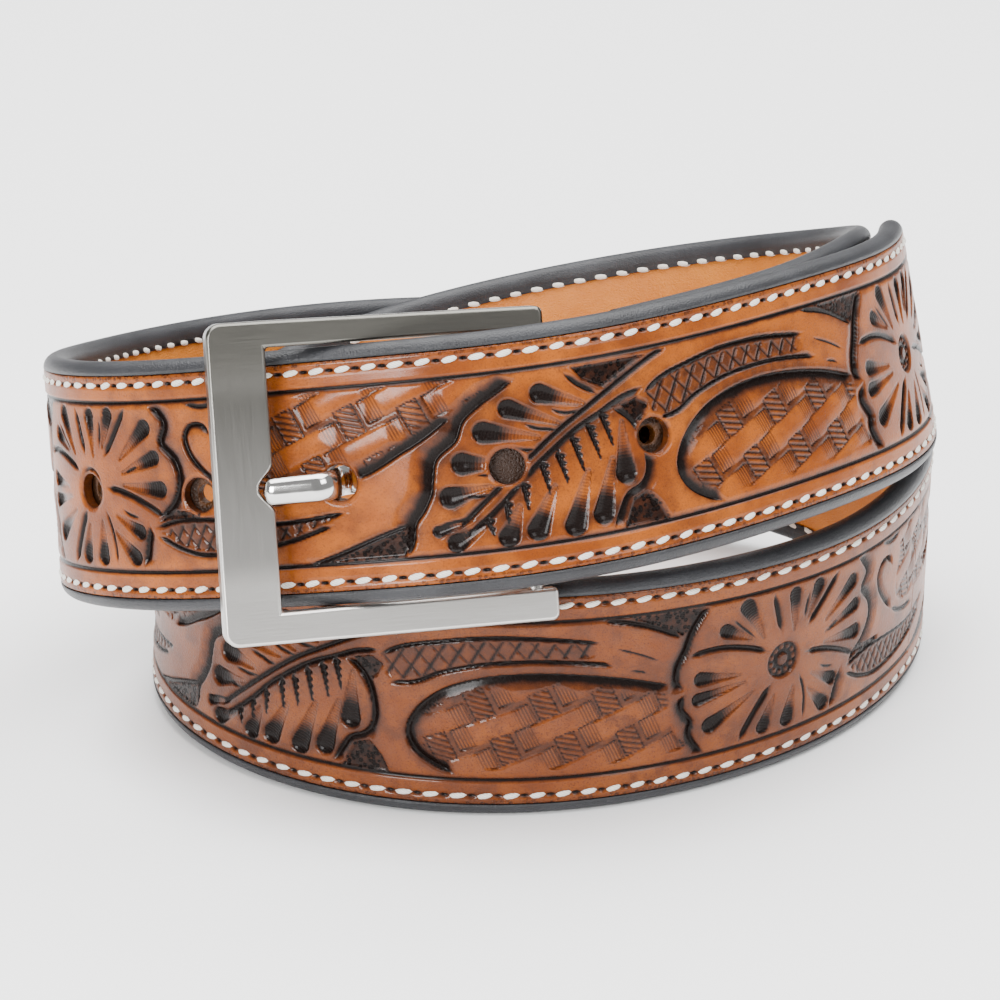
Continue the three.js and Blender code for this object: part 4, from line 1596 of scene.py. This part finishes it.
@dataclass
class Strap:
    """The tooled face, its lining and the holes through both.

    The face's stretches have a name, an end along the strap and a mesh size, finer where it is
    seen. Edges are half widths. The rims past the face's flat part are shares of its edge and
    drops. The lining's sides are shares of its edge and distances out of the strap's middle.
    """

    route: Route
    tooling: Tooling
    stretches: tuple[tuple[str, float, float], ...] = (
        ("buckle_end", 298.0, 0.5),
        ("lower", 466.0, 0.255),
        ("back", 690.0, 0.45),
        ("left", 773.0, 0.22),
        ("front", 908.0, 0.22),
        ("tip", math.inf, 0.4),
    )
    face_edge: float = 16.9
    face_base: float = 0.25
    rim_width: float = 0.4
    rims: tuple[Spot, ...] = ((0.992, 0.06), (0.998, 0.22), (1.0, 0.45))
    lining_edge: float = 16.6
    lining_step: float = 1.5
    seen_side: tuple[Spot, ...] = (
        *((1, -1.3), (0.93, -1.32), (0.91, -1.45), (0.89, -1.6)),
        *((0.6, -1.62), (0.3, -1.62), (0, -1.62)),
    )
    hidden_side: tuple[float, ...] = (1, 0.36, 0.22, 0.1, 0)
    hidden_out: float = -0.1
    hole_shadow: float = 0.46
    shadow_reach: Spot = (6, 2)
    wall_dye: float = 0.4
    post_from_bar: float = 22.0
    post_spread: float = 7.6
    post_hole: float = 2.2
    bar_angle: float = 3.0
    covered_hole: int = 3
    prong_hole: int = 2
    lining_hole: float = 1.4
    punch_depth: float = 9.0

    @property
    def start(self) -> float:
        """Where the strap's full section starts, behind the fold."""
        return self.route.length_at(self.route.start_angle)

    @property
    def end(self) -> float:
        """Where the tip ends."""
        return self.route.length_at(self.route.tip_angle)

    @property
    def tip_centre(self) -> float:
        """Centre of the tip's half circle, along the strap."""
        return self.end - self.route.width / 2

    @property
    def post_place(self) -> float:
        """Where the two posts stand, along the strap."""
        return self.route.length_at(self.bar_angle) + self.post_from_bar

    def half_width(self, s: Array, edge: float) -> Array:
        """Half of the width at lengths s, with the round tip, where it is edge elsewhere."""
        past = np.clip(s - self.tip_centre, 0, edge)
        return np.sqrt(np.maximum(edge**2 - past**2, 1e-4))

    def rows(self, start: float, end: float, step: float, edge: float) -> Array:
        """Lengths along the strap for the rows of a piece, closer together round the tip.

        Args:
            start: where the piece starts.
            end: where it ends.
            step: the greatest distance between rows.
            edge: half of the piece's width, which sets the tip's last row.

        Returns:
            The lengths in order.
        """
        straight = min(end, self.tip_centre)
        rows = np.linspace(start, straight, max(2, math.ceil((straight - start) / step) + 1))
        if end > self.tip_centre:
            turns = np.linspace(0, math.pi / 2, 40)[1:]
            rows = np.concatenate([rows, self.tip_centre + edge * np.sin(turns)])
        return rows

    def openings(self, lining: bool) -> list[Vec]:
        """Adjusting holes and post holes, each as (s, w, radius).

        Args:
            lining: takes the lining's holes, which are smaller where no prong has opened them, and
                leaves out the one that the buckle's fold covers.

        Returns:
            The holes in order.
        """
        full = self.tooling.hole_radius
        found = []
        for i, (s, w) in enumerate(self.tooling.holes):
            if not (lining and i == self.covered_hole):
                small = lining and i != self.prong_hole
                found.append((s, w, self.lining_hole if small else full))
        spread = self.post_spread
        return found + [(self.post_place, w, self.post_hole) for w in (-spread, spread)]

    def punch(self, piece: Piece, start: float, end: float, lining: bool = False) -> None:
        """Cuts the holes that lie in a stretch of a piece, and dyes their walls.

        Args:
            piece: a face or lining piece with its attributes.
            start: where it starts along the strap.
            end: where it ends.
            lining: whether the piece is the lining.
        """
        for s, w, radius in self.openings(lining):
            if not start + radius < s < end - radius:
                continue
            angle = float(self.route.angle_at(np.array(s)))
            centre = self.route.spot(angle, w, 0)
            axes = np.stack(self.route.axes(np.array(angle)))
            turn = Vector(axes[2]).to_track_quat("Z", "Y").to_euler()
            bpy.ops.mesh.primitive_cylinder_add(
                vertices=48,
                radius=radius * MM,
                depth=self.punch_depth * MM,
                location=centre * MM,
                rotation=turn,
            )
            punch = bpy.context.object
            select_only(piece)
            hole = piece.modifiers.new("hole", "BOOLEAN")
            hole.object = punch
            hole.solver = "MANIFOLD"
            bpy.ops.object.modifier_apply(modifier="hole")
            bpy.data.objects.remove(punch)
            self.finish_wall(piece.data, centre, axes, (s, w, radius))

    def finish_wall(self, mesh: bpy.types.Mesh, centre: Array, axes: Array, hole: Vec) -> None:
        """Gives the wall of a hole its own attributes and sharp rims.

        Args:
            mesh: the mesh that was punched.
            centre: the hole's middle in millimetres.
            axes: directions along, across and out, as rows.
            hole: its length along the strap, its distance across and its radius.
        """
        s, w, radius = hole
        points = np.empty(len(mesh.vertices) * 3, np.float32)
        mesh.vertices.foreach_get("co", points)
        local = (points.reshape(-1, 3).astype(float) / MM - centre) @ axes.T
        on_wall = np.abs(np.hypot(local[:, 0], local[:, 1]) - radius) < 0.02
        wall = on_wall & (np.abs(local[:, 2]) < 4)
        belt = np.empty(len(points), np.float32)
        mesh.attributes["belt"].data.foreach_get("vector", belt)
        belt = belt.reshape(-1, 3)
        belt[wall] = (local[wall] + (s, w, 0)) / MM_IN_CM
        mesh.attributes["belt"].data.foreach_set("vector", belt.ravel())
        for key, value in (("dye", self.wall_dye), ("lines", 0.0), ("stipple", 0.0)):
            if key in mesh.attributes:
                held = np.empty(len(wall), np.float32)
                mesh.attributes[key].data.foreach_get("value", held)
                held[wall] = value
                mesh.attributes[key].data.foreach_set("value", held)
        for face in mesh.polygons:
            if all(wall[i] for i in face.vertices):
                face.use_smooth = False

    def face(self, name: str, start: float, end: float, step: float) -> Piece:
        """One stretch of the tooled face.

        Args:
            name: name of the piece.
            start: where it starts along the strap.
            end: where it ends.
            step: size of its mesh.

        Returns:
            The new object, with the attributes that its leather reads.
        """
        s = self.rows(start, end, step, self.face_edge)
        columns = max(2, math.ceil(2 * (self.face_edge - self.rim_width) / step))
        inner = np.linspace(-1, 1, columns + 1) * (1 - self.rim_width / self.face_edge)
        top = self.route.thickness / 2
        rim, fall = np.array([*self.rims, (1.0, top - self.face_base)]).T
        share = np.concatenate([-rim[::-1], inner, rim])
        drop = np.concatenate([fall[::-1], np.zeros(columns + 1), fall])
        w = share[None, :] * self.half_width(s, self.face_edge)[:, None]
        grid = np.broadcast_to(s[:, None], w.shape)
        found = self.tooling.surface(grid, w, self.tip_centre)
        n = top - drop[None, :] + found["height"]
        piece = sweep(name, self.route.point(grid, w, n), flip=True)
        add_belt_place(piece, grid, w, n)
        for key in ("dye", "stipple", "lines", "phase", "age"):
            add_attribute(piece, key, found[key].ravel())
        self.punch(piece, start, end)
        return piece

    def faces(self) -> list[Piece]:
        """All stretches of the tooled face in order."""
        pieces = []
        start = self.start
        for name, end, step in self.stretches:
            end = min(end, self.end)
            pieces.append(self.face(f"tooled_face_{name}", start, end, step))
            start = end
        return pieces

    def lining(self) -> Piece:
        """The smooth lining behind the tooled face, thinner under the rolled edge's flap, with a
        painted shadow round its holes.
        """
        s = self.rows(self.start, self.end, self.lining_step, self.lining_edge)
        seen = self.seen_side + tuple((-share, out) for share, out in self.seen_side[-2::-1])
        shares = [-share for share in self.hidden_side] + list(self.hidden_side[-2::-1])
        share, depth = np.array([*seen, *((value, self.hidden_out) for value in shares)]).T
        w = share[None, :] * self.half_width(s, self.lining_edge)[:, None]
        n = np.broadcast_to(depth[None, :], w.shape)
        grid = np.broadcast_to(s[:, None], w.shape)
        piece = sweep("lining", self.route.point(grid, w, n), flip=True)
        add_belt_place(piece, grid, w, n)
        # Painted shadow: the lining's hidden side, seen through the holes, is darkened round each
        # hole.
        far, fade = self.shadow_reach
        gaps = [np.hypot(grid - spot, w - level) for spot, level in self.tooling.holes]
        near = ease((far - np.min(gaps, 0)) / fade)
        add_attribute(piece, "dye", np.where(n > -0.2, self.hole_shadow * near, 0).ravel())
        self.punch(piece, self.start, self.end, lining=True)
        return piece


@dataclass
class RolledEdge:
    """The thin leather rolled round both edges and the tip."""

    strap: Strap
    wall: float = 0.5
    flap: float = 1.8
    step: float = 1.2

    def section(self) -> Array:
        """Closed section of the rolled edge: distances past the rim's centre and outwards."""
        half = self.strap.route.thickness / 2
        outer = np.linspace(-math.pi / 2, math.pi / 2, 13)
        inner = np.linspace(math.pi / 2, -math.pi / 2, 9)
        hollow = half - self.wall
        points = [(-self.flap, -half)]
        points += [(half * math.cos(a), half * math.sin(a)) for a in outer]
        points += [(hollow * math.cos(a), hollow * math.sin(a)) for a in inner]
        points.append((-self.flap, -half + self.wall))
        return np.array(points)

    def build(self) -> Piece:
        """The rolled edge as one piece, up one side, round the tip and back."""
        strap = self.strap
        rim = strap.route.width / 2 - strap.route.thickness / 2
        section = self.section()
        rows = np.arange(strap.start, strap.tip_centre, self.step)
        rows = np.append(rows, strap.tip_centre)
        turns = np.linspace(0, math.pi, 50)[1:-1]
        reach = rim + section[:, 0]
        upper_s = np.broadcast_to(rows[:, None], (len(rows), len(section)))
        upper_w = np.broadcast_to(reach[None, :], upper_s.shape)
        tip_s = strap.tip_centre + reach[None, :] * np.sin(turns)[:, None]
        tip_w = reach[None, :] * np.cos(turns)[:, None]
        s = np.concatenate([upper_s, tip_s, upper_s[::-1]])
        w = np.concatenate([upper_w, tip_w, -upper_w])
        n = np.broadcast_to(section[None, :, 1], s.shape)
        piece = sweep("rolled_edge", strap.route.point(s, w, n), flip=True)
        add_belt_place(piece, s, w, n)
        return piece


# Buckle


@dataclass
class BuckleSeat:
    """Where the buckle sits: on a chord of the coil, from its far bar to its heel bar."""

    route: Route
    frame_length: float = 50.2
    frame_thickness: float = 3.4
    bar_width: float = 8.6
    bar_rest: float = 0.8
    heel_inset: float = 3.2
    heel_diameter: float = 3.6
    heel_angle: float = 723.0
    heel_drop: float = 1.4
    heel_depth: float = 9.08
    far_rise: float = 0.7
    rounds: int = 12
    matrix: Matrix = field(init=False)

    @property
    def span(self) -> float:
        """Distance from the far bar's middle to the heel bar's."""
        return self.frame_length - self.bar_width / 2 - self.heel_inset

    def __post_init__(self) -> None:
        """Finds the far bar's place over the strap, and the axes: along, inwards and up."""
        route = self.route
        heel = route.spot(self.heel_angle, -self.heel_drop, -self.heel_depth)
        angle = self.heel_angle - math.degrees(self.span / route.coil_radius)
        far = route.spot(angle, 0, 0)
        for _ in range(self.rounds):
            along, _, _ = route.axes(np.array(angle))
            chord = unit(heel - far)
            tilt = math.acos(min(1, abs(float(chord @ along))))
            rise = self.bar_width / 2 * math.tan(tilt) + self.frame_thickness / 2 / math.cos(tilt)
            far = route.spot(angle, self.far_rise, route.thickness / 2 + self.bar_rest + rise)
            missing = np.linalg.norm(far - heel) - self.span
            angle += math.degrees(missing / route.coil_radius)
        along = unit(heel - far)
        up = route.axes(np.array(angle))[1] + route.axes(np.array(self.heel_angle))[1]
        up = unit(up - along * (up @ along))
        self.matrix = Matrix.Identity(4)
        for i, axis in enumerate((along, np.cross(up, along), up, heel)):
            for j in range(3):
                self.matrix[j][i] = float(axis[j])

    def place(self, piece: Piece) -> None:
        """Moves a mesh made in millimetres round the heel bar to the buckle's place."""
        piece.data.transform(Matrix.Scale(MM, 4) @ self.matrix)

    def local(self, spot: Array) -> Vector:
        """A point of the model, in millimetres, in the buckle's own axes."""
        return self.matrix.inverted() @ Vector([float(value) for value in spot])


@dataclass
class BuckleFrame:
    """The flat open frame: far bar, two arms and the heel bar between their ends.

    It is made in the buckle's own axes, in millimetres round the heel bar: x along the arms, y
    inwards and z up. The upper arm's outer edge falls by taper towards its end, and the lower
    arm's inner edge rises by half of it.
    """

    NEAR = 1e-3

    seat: BuckleSeat
    window: float = 19.35
    upper_arm: float = 3.9
    lower_arm: float = 4.6
    taper: float = 0.5
    corner: float = 2.2
    end_corner: float = 1.1
    bevel: float = 0.55
    bevel_profile: float = 0.42
    notch_drop: float = 1.1
    notch_depth: float = 2.2
    notch_half: float = 3.6
    notch_steps: int = 14
    heel_overlap: float = 1.2
    heel_share: float = 0.36

    def build(self) -> Piece:
        """Makes the frame: arms extruded from a bar, notch pressed in, edges rounded."""
        seat = self.seat
        left = -seat.span - seat.bar_width / 2
        inner = left + seat.bar_width
        frame = self.bar(left, inner)
        mesh = edit(frame, "FACE")
        for face in mesh.faces:
            in_arm = abs(face.calc_center_median().z) > self.window
            face.select = face.normal.x > 0.9 and in_arm
        bmesh.update_edit_mesh(frame.data)
        reach = (seat.heel_inset - inner, 0, 0)
        bpy.ops.mesh.extrude_region_move(TRANSFORM_OT_translate={"value": reach})
        mesh = bmesh.from_edit_mesh(frame.data)
        for vert in mesh.verts:
            if vert.co.x > 0:
                self.taper_arm(vert)
            elif abs(vert.co.x - inner) < self.NEAR:
                self.press_notch(vert)
        bmesh.update_edit_mesh(frame.data)
        self.round_corners(frame, left, self.window + 1, self.corner, 8)
        self.round_corners(frame, seat.heel_inset, self.window + 1.5, self.end_corner, 5)
        leave_edit()
        bevel_edges(frame, self.bevel, 3, 40, self.bevel_profile)
        join_to(frame, self.heel_bar())
        bpy.ops.object.shade_smooth_by_angle(angle=SHARP)
        even = frame.modifiers.new("even", "WEIGHTED_NORMAL")
        even.weight = 100
        even.keep_sharp = True
        bpy.ops.object.modifier_apply(modifier="even")
        add_attribute(frame, "local", vertex_places(frame) / MM_IN_CM)
        seat.place(frame)
        return frame

    def bar(self, left: float, inner: float) -> Piece:
        """The far bar as a plain block, cut across at the arms and where the notch will be.

        Args:
            left: its outer edge.
            inner: its edge towards the window.

        Returns:
            The new object.
        """
        top = self.window + self.upper_arm
        bottom = -self.window - self.lower_arm
        middle = ((left + inner) / 2, 0, (top + bottom) / 2)
        bpy.ops.mesh.primitive_cube_add(size=1, location=middle)
        frame = bpy.context.object
        frame.scale = (self.seat.bar_width, self.seat.frame_thickness, top - bottom)
        settle(frame, "buckle_frame_metal")
        low, high = -self.notch_drop - self.notch_half, -self.notch_drop + self.notch_half
        notch = np.linspace(low, high, self.notch_steps + 1)
        for level in (-self.window, self.window, *notch):
            edit(frame, "VERT", everything=True)
            bpy.ops.mesh.bisect(plane_co=(0, 0, float(level)), plane_no=(0, 0, 1))
            leave_edit()
        return frame

    def taper_arm(self, vert: bmesh.types.BMVert) -> None:
        """Moves a corner at an arm's end."""
        if vert.co.z > self.window + 0.1:
            vert.co.z -= self.taper
        if abs(vert.co.z + self.window) < 0.1:
            vert.co.z += 0.5 * self.taper

    def press_notch(self, vert: bmesh.types.BMVert) -> None:
        """Moves a point of the far bar's inner edge back where the prong's notch is."""
        away = vert.co.z + self.notch_drop
        if abs(away) < self.notch_half - 0.01:
            wave = 0.5 + 0.5 * math.cos(math.pi * away / self.notch_half)
            vert.co.x -= self.notch_depth * wave

    def round_corners(
        self, frame: Piece, x: float, level: float, width: float, segments: int
    ) -> None:
        """Rounds corners of the frame's outline, seen from the front, in edit mode.

        Args:
            frame: the frame.
            x: where the corners are along the arms.
            level: least height of the corners above or below the middle.
            width: the rounding's width.
            segments: its segments.
        """
        mesh = bmesh.from_edit_mesh(frame.data)
        bpy.ops.mesh.select_all(action="DESELECT")
        for edge in mesh.edges:
            a, b = (vert.co for vert in edge.verts)
            upright = abs(a.x - b.x) < self.NEAR and abs(a.z - b.z) < self.NEAR
            through = upright and abs(a.y - b.y) > 1
            edge.select = through and abs(a.x - x) < self.NEAR and abs(a.z) > level
        bmesh.update_edit_mesh(frame.data)
        bpy.ops.mesh.bevel(offset=width, segments=segments, affect="EDGES", clamp_overlap=True)

    def heel_bar(self) -> Piece:
        """The round bar between the arms' ends, which it enters."""
        length = 2 * (self.window - self.taper + self.heel_overlap)
        radius = self.heel_share * self.seat.frame_thickness
        bpy.ops.mesh.primitive_cylinder_add(vertices=32, radius=radius, depth=length)
        bar = bpy.context.object
        edit(bar, "EDGE", everything=True)
        bpy.ops.mesh.bevel(offset=0.2, segments=2, affect="EDGES", clamp_overlap=True)
        leave_edit()
        return settle(bar, "heel_bar")


@dataclass
class Prong:
    """The polished prong: a loop round the heel bar, a bend up through the hole, a rounded tip."""

    seat: BuckleSeat
    hole_angle: float = 698.2
    hole_drop: float = 0.7
    width: float = 4.4
    thickness: float = 2.4
    gap: float = 0.3
    droop: float = 1.6
    loop_wall: float = 1.5
    rest: float = 1.6
    proud: float = 0.8
    sides: int = 24
    squareness: float = 0.9
    tip_length: float = 1.3
    waist: float = 0.1
    waist_length: float = 12.0

    @staticmethod
    def arc(a: Spot, b: Spot, c: Spot, points: int = 12) -> Array:
        """A bend from a to c that leaves towards b."""
        turn = np.linspace(0, 1, points)[:, None]
        a, b, c = np.array(a), np.array(b), np.array(c)
        return a * (1 - turn) ** 2 + 2 * b * turn * (1 - turn) + c * turn**2

    def path(self) -> Array:
        """Middle line in the buckle's axes, as distances along it and outwards."""
        route, seat = self.seat.route, self.seat
        hole = seat.local(route.spot(self.hole_angle, -self.hole_drop, 0))
        x, out = hole.x, -hole.y
        lift = route.thickness / 2 + self.gap + self.thickness / 2
        tip = -seat.span + seat.bar_width / 2 - self.rest
        tip_out = (seat.frame_thickness - self.thickness) / 2 + self.proud
        start = -seat.heel_diameter / 2 - self.gap - self.loop_wall / 2
        middle = (x - 0.75, out)
        under, over = (x + 2.7, out - lift), (x - 4.6, out + lift)
        lead = np.linspace((start, 0), under, 8)[:-1]
        up = self.arc(under, (x + 0.3, out - lift), middle)
        down = self.arc(middle, (x - 1.8, out + lift), over)[1:]
        reach = np.linspace(over, (tip, tip_out), 14)[1:]
        return np.concatenate([lead, up, down, reach])

    def build(self) -> Piece:
        """Makes the prong and its loop."""
        path = self.path()
        ahead = unit(np.gradient(path, axis=0))
        side = np.stack([-ahead[:, 1], ahead[:, 0]], -1)
        turns = np.arange(self.sides) / self.sides * 2 * math.pi
        length = np.concatenate([[0], np.cumsum(np.linalg.norm(np.diff(path, axis=0), axis=1))])
        left = length[-1] - length
        round_tip = 1 - (1 - within(left / self.tip_length)) ** 2
        waist = 1 - self.waist * within(1 - left / self.waist_length)
        size = np.sqrt(np.clip(round_tip, 0.02, 1)) * waist
        squared = np.sign(np.cos(turns)) * np.abs(np.cos(turns)) ** self.squareness
        flat = squared[None, :] * self.width / 2 * size[:, None]
        thick = np.sin(turns)[None, :] * self.thickness / 2 * size[:, None]
        x = path[:, [0]] + side[:, [0]] * thick
        out = path[:, [1]] + side[:, [1]] * thick
        drop = -self.droop * (path[0, 0] - path[:, [0]]) / (path[0, 0] - path[-1, 0])
        prong = sweep("prong", np.stack([x, -out, flat + drop], -1))
        join_to(prong, self.loop())
        self.seat.place(prong)
        face_outwards(prong)
        return prong

    def loop(self) -> Piece:
        """The ring round the heel bar, a torus stretched to the prong's width."""
        inner = self.seat.heel_diameter / 2 + self.gap
        bpy.ops.mesh.primitive_torus_add(
            major_radius=inner + self.loop_wall / 2,
            minor_radius=self.loop_wall / 2,
            major_segments=40,
            minor_segments=14,
        )
        ring = bpy.context.object
        ring.scale = (1, 1, self.width / self.loop_wall)
        bpy.ops.object.shade_smooth()
        return settle(ring, "prong_loop")


@dataclass
class Fold:
    """The strap's end folded round the heel bar, with the slot that the prong comes through."""

    solid: Piece
    thickness: float = 2.4
    edge: float = 0.4

    def build(self) -> Piece:
        """Copies the fold's solid, softens its edges and gives it the leather's place."""
        fold = new_object("fold", self.solid.data.copy())
        edit(fold, "VERT", everything=True)
        bpy.ops.mesh.remove_doubles(threshold=1e-6)
        bpy.ops.mesh.normals_make_consistent(inside=False)
        bpy.ops.mesh.dissolve_limited(angle_limit=math.radians(1))
        leave_edit()
        bevel_edges(fold, self.edge * MM, 2, 50)
        bpy.ops.object.shade_smooth_by_angle(angle=SHARP)
        add_attribute(fold, "belt", vertex_places(fold) / MM / MM_IN_CM)
        return fold


@dataclass
class Post:
    """A screw post through the strap and its fold: low head outside, domed cap inside.

    The rows of the profiles are shares of the radius and of the height.
    """

    strap: Strap
    fold_thickness: float
    side: int
    head: float = 0.8
    head_radius: float = 4.0
    cap: float = 1.4
    cap_radius: float = 4.0
    shank: float = 2.0
    cap_profile: tuple[Spot, ...] = ((0.45, 0.96), (0.75, 0.82), (0.93, 0.55), (1, 0.25), (1, 0))
    head_profile: tuple[Spot, ...] = ((1, 0), (1, 0.45), (0.9, 0.85), (0.78, 1), (0.3, 1))

    def build(self, name: str) -> Piece:
        """Turns the post's profile and stands it on the strap.

        Args:
            name: name of the piece.

        Returns:
            The new object.
        """
        route = self.strap.route
        top = route.thickness / 2 + route.gap
        base = -route.thickness / 2 - self.fold_thickness - 3 * route.gap
        profile = [(0.01, base - self.cap)]
        profile += [(r * self.cap_radius, base - h * self.cap) for r, h in self.cap_profile]
        profile += [(self.shank, base), (self.shank, top)]
        profile += [(r * self.head_radius, top + h * self.head) for r, h in self.head_profile]
        profile.append((0.01, top + self.head))
        turns = np.arange(32) / 32 * 2 * math.pi
        rings = np.array(
            [[(r * math.cos(a), r * math.sin(a), z) for a in turns] for r, z in profile]
        )
        angle = float(route.angle_at(np.array(self.strap.post_place)))
        axes = np.stack(route.axes(np.array(angle)))
        spot = route.spot(angle, self.side * self.strap.post_spread, 0)
        post = sweep(name, (spot + rings @ axes) * MM)
        select_only(post)
        bpy.ops.object.shade_smooth_by_angle(angle=math.radians(30))
        return post


@dataclass
class Stitches:
    """A row of saddle stitches, one thread shape repeated along the strap and round its tip."""

    strap: Strap
    out: float = 1.93
    length: float = 2.75
    width: float = 0.95
    height: float = 0.64
    tilt: float = 9.0
    dive: float = 0.38
    turn_spread: float = 0.05
    out_spread: float = 0.02
    seed: int = 7

    def shape(self) -> tuple[Array, list[tuple[int, ...]]]:
        """One stitch: a ball drawn out to a spindle whose ends dive into the leather.

        Returns:
            Its points and its faces.
        """
        bpy.ops.mesh.primitive_uv_sphere_add(
            segments=8, ring_count=8, radius=0.5, rotation=(0, math.pi / 2, 0)
        )
        ball = settle(bpy.context.object, "stitch")
        points = vertex_places(ball)
        faces = [tuple(face.vertices) for face in ball.data.polygons]
        bpy.data.objects.remove(ball)
        reach = np.sin(points[:, 0] * math.pi) / 2
        girth = np.sqrt(np.clip(1 - (2 * points[:, 0]) ** 2, 1e-6, 1))
        full = (1 - np.abs(2 * reach) ** 2.6) ** 0.6 / np.maximum(girth, 1e-3)
        full = np.clip(full, 0, 3)
        x = reach * self.length
        y = points[:, 1] * full * self.width
        z = points[:, 2] * full * self.height - self.dive * np.abs(2 * reach) ** 3
        return np.stack([*turned(x, y, math.radians(self.tilt)), z], -1), faces

    def build(self, name: str, side: int) -> Piece:
        """A row along one edge, on the face for a positive out and on the lining otherwise.

        Args:
            name: name of the piece.
            side: 1 for the upper edge, -1 for the lower one.

        Returns:
            The row as one mesh.
        """
        strap, tooling = self.strap, self.strap.tooling
        pitch, line = tooling.stitch_pitch, tooling.stitch_line
        points, faces = self.shape()
        points = points * (1, 1, 1 if self.out > 0 else -1)
        tip = float(tooling.pattern_at(np.array(strap.tip_centre)))
        first = math.ceil(float(tooling.pattern_at(np.array(strap.start))) / pitch)
        last = math.floor((tip + line * math.pi / 2 - 0.5) / pitch)
        spots = (np.arange(first, last) + 0.5) * pitch
        random = np.random.default_rng(self.seed + side + int(self.out))
        turn = random.normal(0, self.turn_spread, len(spots))[:, None]
        x, y = turned(points[None, :, 0], points[None, :, 1], turn)
        q = spots[:, None] + x
        past = np.maximum(q - tip, 0) / line
        reach = line + side * y
        s = np.where(past > 0, strap.tip_centre + reach * np.sin(past), tooling.strap_at(q))
        w = side * reach * np.cos(past)
        n = self.out + points[None, :, 2] + random.normal(0, self.out_spread, len(spots))[:, None]
        placed = strap.route.point(s, w, n)
        count = len(points)
        mesh = bpy.data.meshes.new(name)
        every = [tuple(i * count + k for k in face) for i in range(len(spots)) for face in faces]
        mesh.from_pydata(placed.reshape(-1, 3).tolist(), [], every)
        row = new_object(name, mesh)
        add_attribute(row, "ply", np.broadcast_to(points[None], placed.shape).reshape(-1, 3))
        face_outwards(row)
        bpy.ops.object.shade_smooth()
        return row


def turned(x: Array, y: Array, angle: float | Array) -> Arrays:
    """Places turned by an angle in radians."""
    return x * np.cos(angle) - y * np.sin(angle), x * np.sin(angle) + y * np.cos(angle)


# Studio


@dataclass
class Studio:
    """Camera, floor and soft lights, whose columns are name, place, size and power."""

    elevation: float = 18.95
    distance: float = 0.5918
    focal: float = 128.83
    sensor: float = 36.0
    target: Vec = (-0.000264, -0.000303, 0.03093)
    floor_size: float = 6.0
    floor_tone: float = 0.95
    surround: float = 0.38
    lit: Vec = (0, 0, 0.03)
    lamps: tuple[tuple[str, Vec, float, float], ...] = (
        ("overhead", (0.0, 0.2, 1.6), 2.4, 130.0),
        ("key", (-0.6, -1.1, 0.45), 0.45, 17.0),
        ("fill", (0.9, -0.9, 0.8), 0.5, 7.0),
    )

    def camera(self) -> None:
        """Puts the camera where the picture was taken from."""
        tilt = math.radians(self.elevation)
        back = Vector((0, -math.cos(tilt), math.sin(tilt)))
        data = bpy.data.cameras.new("camera")
        data.lens = self.focal
        data.sensor_width = self.sensor
        data.clip_start = 0.01
        camera = new_object("camera", data)
        camera.location = Vector(self.target) + back * self.distance
        camera.rotation_euler = (math.pi / 2 - tilt, 0, 0)
        bpy.context.scene.camera = camera

    def floor(self) -> None:
        """A plain pale floor."""
        bpy.ops.mesh.primitive_plane_add(size=self.floor_size, location=(0, 0, 0))
        floor = settle(bpy.context.object, "floor")
        floor.data.materials.append(PlainFinish("floor", (self.floor_tone,) * 3, 0.9).material())

    def lights(self) -> None:
        """An even pale surround, a wide lamp overhead and two soft ones in front."""
        world = bpy.data.worlds.new("surround")
        world.use_nodes = True
        background = world.node_tree.nodes["Background"]
        background.inputs["Color"].default_value = (1, 1, 1, 1)
        background.inputs["Strength"].default_value = self.surround
        bpy.context.scene.world = world
        for name, place, size, power in self.lamps:
            lamp = bpy.data.lights.new(name, "AREA")
            lamp.size, lamp.energy = size, power
            holder = new_object(name, lamp)
            holder.location = place
            towards = Vector(self.lit) - Vector(place)
            holder.rotation_euler = towards.to_track_quat("-Z", "Y").to_euler()


def main() -> None:
    """Builds the studio and each piece of the belt."""
    logging.basicConfig(level=logging.INFO, format="%(name)s %(message)s")
    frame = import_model()
    studio = Studio()
    studio.camera()
    studio.floor()
    studio.lights()
    route = Route()
    strap = Strap(route, Tooling(route))
    grain = leather_grain()
    tan = TooledLeather(grain).material()
    for face in strap.faces():
        dress(face, tan, "tooled_leather", "tooled_strap")
    lining = SmoothLeather("lining_leather", grain, (0.58, 0.2, 0.022), (0.44, 0.13, 0.012))
    dress(strap.lining(), lining.material(), "lining_leather", "strap_lining")
    black = SmoothLeather(
        "edge_leather",
        grain,
        light=(0.032, 0.033, 0.037),
        deep=(0.014, 0.014, 0.016),
        fineness=24.0,
        pores=0.4,
        roughness=0.4,
        relief=0.00007,
    )
    dress(RolledEdge(strap).build(), black.material(), "binding_leather", "edge_binding")
    seat = BuckleSeat(route)
    along, up = (tuple(seat.matrix.col[i][:3]) for i in (0, 2))
    metal = BrushedNickel(along, up).material()
    bright = PolishedNickel().material()
    fold = Fold(frame["nodes"]["buckle_fold"])
    dress(fold.build(), tan, "tooled_leather", "buckle_fold")
    for name, side in (("post_lower", -1), ("post_upper", 1)):
        post = Post(strap, fold.thickness, side).build(name)
        dress(post, bright, "brushed_metal", f"fold_{name}")
    dress(BuckleFrame(seat).build(), metal, "brushed_metal", "buckle_frame")
    dress(Prong(seat).build(), bright, "polished_metal", "buckle_prong")
    thread = WaxedThread().material()
    for place, row in (("face", Stitches(strap)), ("lining", Stitches(strap, out=-1.98))):
        for edge, side in (("upper", 1), ("lower", -1)):
            dress(row.build(f"stitches_{place}_{edge}", side), thread, "thread")


if __name__ == "__main__":
    main()
